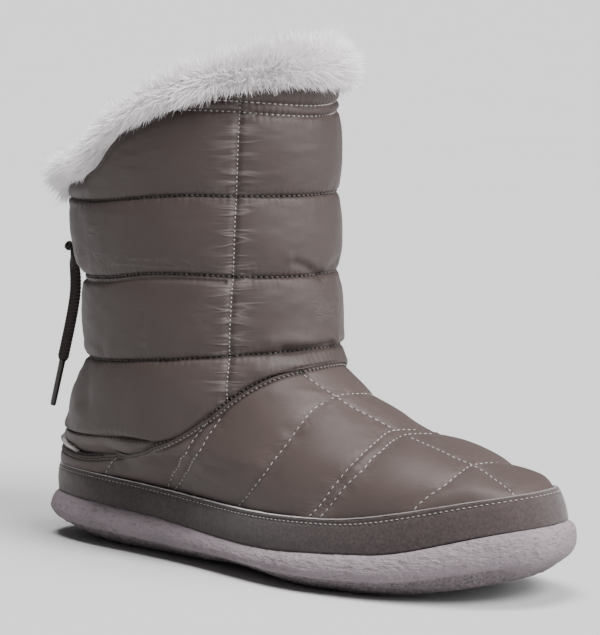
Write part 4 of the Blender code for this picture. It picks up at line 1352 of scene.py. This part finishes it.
def build_sole():
    """Moulded sole: its side, its underside with the tread, and its upper face."""
    angle = foot_angles(760)
    profile = smooth_route(SOLE_PROFILE, 8)
    rows = []
    for down, side, heel, toe in profile:
        outline = ring_point(0, angle, side, heel, toe)
        top = sole_top(outline[:, 0])
        outline[:, 2] = top + (under_height(outline[:, 0], heel, toe) - top) * down
        rows.append(outline)
    points = np.stack(rows)
    across = unit(points - np.array([0.0, 0.0, 0.014]) - points * np.array([0.85, 0, 0]))
    flowing = points * np.array([0.60, 0.70, 1.2])
    crumb = 0.00013 * noise(flowing, 0.0011, 71) + 0.00012 * noise(points, 0.0060, 72)
    crumb -= 0.00016 * smooth((noise(flowing, 0.0012, 73) - 0.35) / 0.20)
    low = rough_layer(profile[:, 0])[:, None] * smooth((0.134 - points[..., 0]) / 0.014)
    frayed = noise(points * np.array([1, 1, 0.35]), 0.0014, 74)
    crumb = crumb + low * (0.00085 * frayed - 0.0005)
    fade = smooth((1 - profile[:, 0]) / 0.03)[:, None]
    points = points + across * (crumb * fade)[..., None]
    # the underside closes in towards its spine, with the tread cut up into it
    shares = np.linspace(0, 1, 26)[1:]
    under = towards_spine(rows[-1], shares, -0.100, 0.104)
    x, y = under[..., 0], under[..., 1]
    under[..., 2] = under_height(x, *SOLE_PROFILE[-1][2:])
    under[..., 2] += tread(x, y) * smooth((shares - 0.05) / 0.06)[:, None]
    top = towards_spine(rows[0], (0.10, 0.25, 0.45))
    top[..., 2] = sole_top(top[..., 0])
    points = np.concatenate([under[::-1], points[::-1], top])
    obj = grid_object("moulded_sole", points)
    low = np.concatenate([np.ones((len(under), len(angle))), low[::-1],
                          np.zeros((len(top), len(angle)))])
    float_attribute(obj, "low", low)
    dress(obj, SOLE, ("outsole",))


def build_insole():
    """Fleece insole on the sole's upper face."""
    angle = foot_angles(300)
    inset = UPPER_WALL + INSOLE_CLEAR
    outline = ring_point(0, angle, -inset, -inset, -inset)
    outline[:, 2] = sole_top(outline[:, 0]) + 0.0004
    shares = np.linspace(0.0, 1.0, 34)
    points = towards_spine(outline, shares)
    edge = smooth(shares / 0.08)[:, None]
    points[..., 2] = sole_top(points[..., 0]) + INSOLE_THICKNESS * (0.78 + 0.22 * edge)
    points[..., 2] += (0.0007 * noise(points, 0.0045, 81) - 0.0003) * edge
    obj = grid_object("fleece_insole", np.concatenate([outline[None], points]))
    dress(obj, FLEECE, ("insole",))


# ---------------------------------------------------------------- fur collar
STRANDS_PER_PIECE = 36000
FUR_PIECES = 2
STRAND_WIDTH = 0.00029
BACKING_SIZE, ROOT_SIZE = 0.70, 0.62     # of the fur's section: its soft roll, the hairs' roots
TUFTS_ROUND, TUFTS_ACROSS = 92, 11


def collar_frame(share):
    """Rim point, outward direction and droop at shares of the way round the rim."""
    start = float(slit_angle(RIM))
    angle = start + (2 * np.pi - 2 * start) * share
    base = ring_point(RIM, angle)
    above_seam = base[..., 2] - ring_height(TOP_LEVEL_SEAM, angle)
    droop = np.minimum(1.0, (above_seam + FUR_SPARE) / FUR_REACH)
    return base, outward(RIM, angle), droop


def fur_section(place):
    """Out, up and pile at places from 0 to 1 round the fur's section."""
    section = np.array(FUR_SECTION)
    lengths = arc_lengths(np.column_stack([section[:, :2], np.zeros(len(section))]))
    lengths = lengths / lengths[-1]
    return [np.interp(place, lengths, section[:, column]) for column in range(3)]


def fur_height(share):
    """How tall the collar stands round the rim: full at the front, with two flatter places."""
    half = np.minimum(share, 1 - share)
    full = 0.40 * np.exp(-((share - 0.45) / 0.13)**2)
    flat = 0.20 * np.exp(-((half - 0.23) / 0.025)**2) + 0.25 * np.exp(-((half - 0.09) / 0.03)**2)
    return 1 + full - flat


def fur_points(share, place, size):
    """Points of the collar's section, shrunk towards its heart by size, and the radial way."""
    base, out, droop = collar_frame(share)
    outer, up, pile = fur_section(place)
    ends = smooth((0.13 - np.minimum(share, 1 - share)) / 0.08)
    up = np.where(up < 0, up * droop * (1 + 1.6 * ends), up * fur_height(share))
    taper = 0.78 + 0.22 * smooth(np.minimum(share, 1 - share) / 0.03)
    heart = np.array(FUR_HEART)
    across, rise = (outer - heart[0]) * taper, (up - heart[1]) * taper
    radial = out * across[..., None]
    radial[..., 2] += rise
    centre = base + out * heart[0]
    centre[..., 2] += heart[1]
    return centre + radial * size, radial, out, pile


def build_fur_base():
    """Soft underlying roll that the pile stands on."""
    share = np.linspace(0, 1, 330)
    place = np.linspace(0, 1, 40)
    share, place = np.meshgrid(share, place, indexing="ij")
    points, radial = fur_points(share, place, BACKING_SIZE)[:2]
    points = points + unit(radial) * (0.0010 * noise(points, 0.006, 91))[..., None]
    seat = points[:, -1:] * 0.5 + points[:, :1] * 0.5
    points = np.concatenate([points, seat], axis=1)
    obj = grid_object("fur_backing", points)
    # painted shade: the backing takes the darker tone of the pile's roots
    float_attribute(obj, "along", np.full(len(obj.data.vertices), 0.18))
    dress(obj, FUR, ("collar",))


def tuft_centre(share, place, seed):
    """Share and place of the tuft that a hair belongs to."""
    counts = np.array([TUFTS_ROUND, TUFTS_ACROSS])
    cell = np.floor(np.stack([share, place], axis=-1) * counts) + 0.5
    shift = np.stack([noise(cell, 1.0, seed + step) * 0.35 for step in (0, 1)], axis=-1)
    return np.moveaxis((cell + shift) / counts, -1, 0)


def build_fur(number):
    """One half of the collar's hairs, each a thin strip of two faces."""
    random = np.random.default_rng(300 + number)
    count = STRANDS_PER_PIECE
    share = random.uniform(0, 1, count)
    place = random.beta(1.25, 1.25, count)
    root, radial, out, pile = fur_points(share, place, ROOT_SIZE)
    length = np.linalg.norm(radial, axis=1) * 0.38 + 0.0046 * pile
    length *= random.uniform(0.62, 1.12, count)
    direction = unit(radial)
    tuft_share, tuft_place = tuft_centre(share, place, 7)
    tuft_root, tuft_radial = fur_points(np.clip(tuft_share, 0, 1), np.clip(tuft_place, 0, 1),
                                        ROOT_SIZE)[:2]
    # each tuft leans its own way, on the whole down the outside and towards the back
    along = np.cross(out, np.array([0.0, 0.0, 1.0]))
    lean = noise_way(tuft_root, 0.011, 101)
    swirl = noise_way(root, 0.030, 111)
    outside = smooth((place - 0.40) / 0.45)
    fall = np.zeros_like(root)
    fall[:, 2] = -0.34 * outside
    sweep = along * (0.30 * noise(tuft_root, 0.02, 121) + 0.22 * outside)[:, None]
    bend = 0.40 * lean + 0.30 * swirl + fall + sweep
    tuft_tip = tuft_root + unit(tuft_radial) * 0.0125
    own_tip = root + direction * length[:, None]
    gather = (tuft_tip - own_tip) * (0.34 * random.uniform(0.2, 1.0, count) * pile)[:, None]
    jitter = random.normal(0, 0.30, (count, 3))
    steps = np.array((0.0, 0.52, 1.0))
    line = (root[:, None] + direction[:, None] * (length[:, None] * steps)[..., None]
            + (bend + jitter)[:, None] * (length[:, None] * 0.62 * steps**2)[..., None]
            + gather[:, None] * (steps**1.6)[None, :, None])
    side = unit(np.cross(direction, random.normal(0, 1, (count, 3)) + along * 0.8))
    width = STRAND_WIDTH * random.uniform(0.7, 1.25, count)
    taper = np.array((1.0, 0.86, 0.10))
    half = side[:, None] * (width[:, None] * taper / 2)[..., None]
    points = np.stack([line - half, line + half], axis=2).reshape(count, 6, 3)
    faces = np.array([(0, 1, 3, 2), (2, 3, 5, 4)])
    obj = joined(f"fur_pile_{number}", points, faces)
    # painted shade along each strand, darker at its root; each strand's tone also differs at
    # random
    tone = random.uniform(-0.10, 0.10, count)
    value = np.repeat(np.clip(steps[None] * 0.85 + 0.12 + tone[:, None], 0, 1), 2, axis=1)
    float_attribute(obj, "along", value)
    dress(obj, FUR)


# ---------------------------------------------------------------- lace and eyelets
def eyelet_frames():
    """Side, number, centre and normal of each eyelet."""
    frames = []
    for number, z in enumerate(EYELET_HEIGHTS, 1):
        level = float(level_reaching(z, lambda at: ring_at(at)["back_z"], np.array(BORDER, float)))
        spread = float(back_angle(level, slit_half(z) + EYELET_EDGE))
        for side, angle in (("inner", spread), ("outer", 2 * np.pi - spread)):
            spot = np.array([angle])
            here = np.array([level])
            frames.append((side, number, shaft_surface(here, spot)[0],
                           normal_of(shaft_surface, here, spot)[0]))
    return frames


def turned(name, profile, sides):
    """A turned piece from a closed profile of (radius, height)."""
    turns = np.arange(sides) / sides * 2 * np.pi
    profile = np.array(list(profile) + [profile[0]])
    points = np.stack([profile[:, :1] * np.cos(turns), profile[:, :1] * np.sin(turns),
                       np.repeat(profile[:, 1:2], sides, axis=1)], axis=-1)
    return grid_object(name, points, inward=True)


def stand_on(obj, centre, normal):
    turn = Vector(normal).to_track_quat("Z", "Y").to_matrix().to_4x4()
    obj.data.transform(Matrix.Translation(Vector(centre)) @ turn)
    return obj


def build_eyelets():
    profile = [(0.0021, -0.0046), (0.0031, -0.0046), (0.0031, 0.0002), (0.0046, 0.0002)]
    for step in range(9):
        turn = math.pi * step / 8
        profile.append((0.00345 + 0.00115 * math.cos(turn), 0.0005 + 0.0011 * math.sin(turn)))
    profile.append((0.0021, 0.0002))
    for side, number, centre, normal in eyelet_frames():
        obj = stand_on(turned(f"grommet_{side}_{number}", profile, 28), centre, normal)
        dress(obj, METAL, (f"eyelet_{side}_{number}",))


def ribbon(name, route, faces_up, width, thickness, sides=12):
    """A flat lace with rounded edges along a route; faces_up gives its flat side's normals."""
    route = np.asarray(route, float)
    forward = unit(np.gradient(route, axis=0))
    faces_up = unit(faces_up - forward * np.sum(faces_up * forward, axis=1, keepdims=True))
    across = np.cross(faces_up, forward)
    width = np.broadcast_to(width, (len(route),))
    turns = np.arange(sides) / sides * 2 * np.pi
    wide = np.sign(np.cos(turns)) * np.abs(np.cos(turns))**0.5
    thick = np.sign(np.sin(turns)) * np.abs(np.sin(turns))**0.8
    points = (route[:, None] + across[:, None] * (width[:, None] / 2 * wide)[..., None]
              + faces_up[:, None] * (thickness / 2 * thick)[None, :, None])
    obj = grid_object(name, points, inward=True)
    add_lace_map(obj, arc_lengths(route), sides)
    return obj


def add_lace_map(obj, lengths, sides):
    """Braid coordinates: along the lace and round its section."""
    layer = obj.data.uv_layers.new(name="lace")
    index = np.empty(len(obj.data.loops), dtype=np.int64)
    obj.data.loops.foreach_get("vertex_index", index)
    along = lengths[np.minimum(index // sides, len(lengths) - 1)] / BRAID_PITCH * 2 * np.pi
    over = (index % sides) / sides * 2 * np.pi * 3
    layer.data.foreach_set("uv", np.stack([along, over], axis=1).ravel().astype(np.float32))


LACE_RUNS = (
    # from one eyelet to another, both by side and number
    (("outer", 1), ("inner", 1)),
    (("outer", 1), ("inner", 2)),
    (("inner", 1), ("outer", 2)),
    (("outer", 2), ("inner", 3)),
    (("inner", 2), ("outer", 3)),
    (("outer", 3), ("inner", 3)),
)


def build_lace_crossings():
    seats = {(side, number): (centre, normal) for side, number, centre, normal in eyelet_frames()}
    backwards = np.array([-1.0, 0.0, 0.0])
    strips = []
    for layer, (start, end) in enumerate(LACE_RUNS):
        (first, up_one), (last, up_two) = seats[start], seats[end]
        over = 0.0031 + 0.00016 * layer
        route = [first - up_one * 0.0012, first + up_one * 0.0010, first * 0.86 + last * 0.14
                 + backwards * over, (first + last) / 2 + backwards * (over + 0.0004),
                 first * 0.14 + last * 0.86 + backwards * over, last + up_two * 0.0010,
                 last - up_two * 0.0012]
        points = smooth_route(route, 7)
        t = np.linspace(0, 1, len(points))
        width = 0.0030 + (LACE_WIDTH - 0.0030) * np.sin(np.pi * t)**0.5
        strips.append(ribbon(f"lace_run_{layer}", points, np.tile(backwards, (len(points), 1)),
                             width, LACE_THICKNESS))
    for strip in strips:
        dress(strip, LACE)
    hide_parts("lace_crossings")


def build_knot():
    """The knot: two crossed turns with a band over them, and a small turn on the outer end."""
    centre = np.array(KNOT_CENTRE)
    turns = np.linspace(0, 2 * np.pi, 41)
    made = []
    for name, side, (deep, wide, tall), shift, width in KNOT_TURNS:
        upright = tall * np.sin(turns)
        if side:
            upright = side * (0.5 * upright + 0.22 * tall * np.cos(turns))
        ring = np.stack([-deep * np.cos(turns), wide * np.sin(turns), upright], axis=1)
        points = centre + ring + np.array(shift)
        made.append(dress(ribbon(name, points, unit(ring), width, 0.0011), LACE))
    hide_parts("lace_knot")
    return made


def build_lace_end(side, route):
    """A hanging end with its wrapped tip."""
    sign = -1.0 if side == "outer" else 1.0
    path = smooth_route(route, 24)
    t = np.linspace(0, 1, len(path))
    turn = smooth((t - 0.10) / 0.35)
    lean = 1.45 if side == "outer" else 0.75
    flat_side = np.stack([lean * turn - 1, sign * (0.25 + 0.65 * turn), 0.1 * (1 - turn)], axis=1)
    width = END_WIDTH - 0.0022 * smooth((t - 0.96) / 0.04) - 0.0014 * (1 - smooth(t / 0.10))
    width = width * (1 + 0.035 * np.sin(arc_lengths(path) / BRAID_PITCH * 2 * np.pi))
    end = dress(ribbon("hanging_lace_" + side, path, flat_side, width, 0.0014), LACE,
                ("lace_end_" + side,))
    along = unit(path[-1] - path[-2])
    profile = [(0.0002, 0.0), (0.00135, 0.0001), (0.0015, 0.0010), (0.00145, 0.0020),
               (0.00135, AGLET_LENGTH - 0.0020), (0.00125, AGLET_LENGTH - 0.0004),
               (0.0010, AGLET_LENGTH), (0.0002, AGLET_LENGTH)]
    tip = turned("lace_tip_" + side, profile, 16)
    stand_on(tip, path[-1] - along * 0.0004, along)
    dress(tip, AGLET, ("aglet_" + side,))
    return end, tip, path


def build_lace():
    build_lace_crossings()
    knot = build_knot()
    for side, route, extra in (("outer", LACE_END_OUTER, knot), ("inner", LACE_END_INNER, [])):
        end, tip, path = build_lace_end(side, route)


# ---------------------------------------------------------------- heel tab
def build_heel_tab():
    """A folded tape caught in the binding, quite plain: grey at its fold, pale at its free end."""
    across, along = np.meshgrid(np.linspace(0, 1, 9), np.linspace(0, 1, 24), indexing="ij")
    angle = np.radians(345 - 22 * along)
    level = 3.20 - 0.20 * along + (1.60 - 0.60 * along) * across
    base = foot_surface(level, angle)
    out = outward(level, angle)
    fold = 0.0010 + 0.0014 * smooth(along / 0.4) + 0.0003 * np.sin(np.pi * across)
    outer = base + out * fold[..., None]
    inner = base - out * 0.0004
    points = np.concatenate([inner[:1], outer, inner[-1:]])
    points = np.concatenate([points[:, :1] - out[0, 0] * 0.002, points,
                             points[:, -1:] - out[0, -1] * 0.002], axis=1)
    obj = grid_object("plain_heel_tab", points, closed=False)
    tone = np.pad(along, ((1, 1), (1, 1)), mode="edge")
    float_attribute(obj, "fold", tone)
    dress(obj, TAPE, ("heel_tab",))


# ---------------------------------------------------------------- camera, light and floor
CAMERA_AZIMUTH = math.radians(40.0)
CAMERA_ELEVATION = 0.11366
CAMERA_DISTANCE = 1.26165
CAMERA_TARGET = Vector((0.0, 0.0, 0.110))
CAMERA_LENS = 166.25
CAMERA_SHIFT_X, CAMERA_SHIFT_Y = 0.0040, -0.0098
WORLD_STRENGTH = 0.135
FLOOR_HALF = 60.0
SUNS = (
    # name, place, strength, softness in degrees
    ("key", (1.0, -0.20, 1.05), 4.9, 26.0),
    ("front", (1.0, 0.38, 0.34), 2.8, 45.0),
    ("top", (0.05, -0.12, 1.0), 4.0, 30.0),
)


def build_camera():
    data = bpy.data.cameras.new("camera")
    camera = bpy.data.objects.new("camera", data)
    bpy.context.scene.collection.objects.link(camera)
    forward = Vector((-math.sin(CAMERA_AZIMUTH) * math.cos(CAMERA_ELEVATION),
                      math.cos(CAMERA_AZIMUTH) * math.cos(CAMERA_ELEVATION),
                      -math.sin(CAMERA_ELEVATION)))
    camera.location = CAMERA_TARGET - forward * CAMERA_DISTANCE
    camera.rotation_mode = "QUATERNION"
    camera.rotation_quaternion = forward.to_track_quat("-Z", "Y")
    data.sensor_width = 36.0
    data.lens = CAMERA_LENS
    data.shift_x = CAMERA_SHIFT_X
    data.shift_y = CAMERA_SHIFT_Y
    data.clip_end = 300.0
    bpy.context.scene.camera = camera


def add_sun(name, place, strength, softness):
    data = bpy.data.lights.new(name, "SUN")
    data.energy = strength
    data.angle = math.radians(softness)
    light = bpy.data.objects.new(name, data)
    light.location = place
    light.rotation_mode = "QUATERNION"
    light.rotation_quaternion = (-Vector(place)).to_track_quat("-Z", "Y")
    bpy.context.scene.collection.objects.link(light)


def build_studio():
    world = bpy.data.worlds.new("studio")
    world.use_nodes = True
    background = world.node_tree.nodes["Background"]
    background.inputs["Color"].default_value = (1.0, 1.0, 1.0, 1.0)
    background.inputs["Strength"].default_value = WORLD_STRENGTH
    bpy.context.scene.world = world
    corners = ((-1, -1, 0), (1, -1, 0), (1, 1, 0), (-1, 1, 0))
    floor = mesh_object("floor", np.array(corners) * FLOOR_HALF, [(0, 1, 2, 3)])
    bpy.context.scene.collection.objects.link(floor)
    floor.data.materials.append(floor_material())
    for sun in SUNS:
        add_sun(*sun)


# ---------------------------------------------------------------- the whole boot
build_camera()
build_studio()
build_lace()
build_upper()
build_shaft()
build_lining()
build_slit_facings()
build_piping()
build_stitches()
build_rand()
build_cut_edge()
build_sole()
build_insole()
build_fur_base()
for piece_number in range(FUR_PIECES):
    build_fur(piece_number)
build_eyelets()
build_heel_tab()
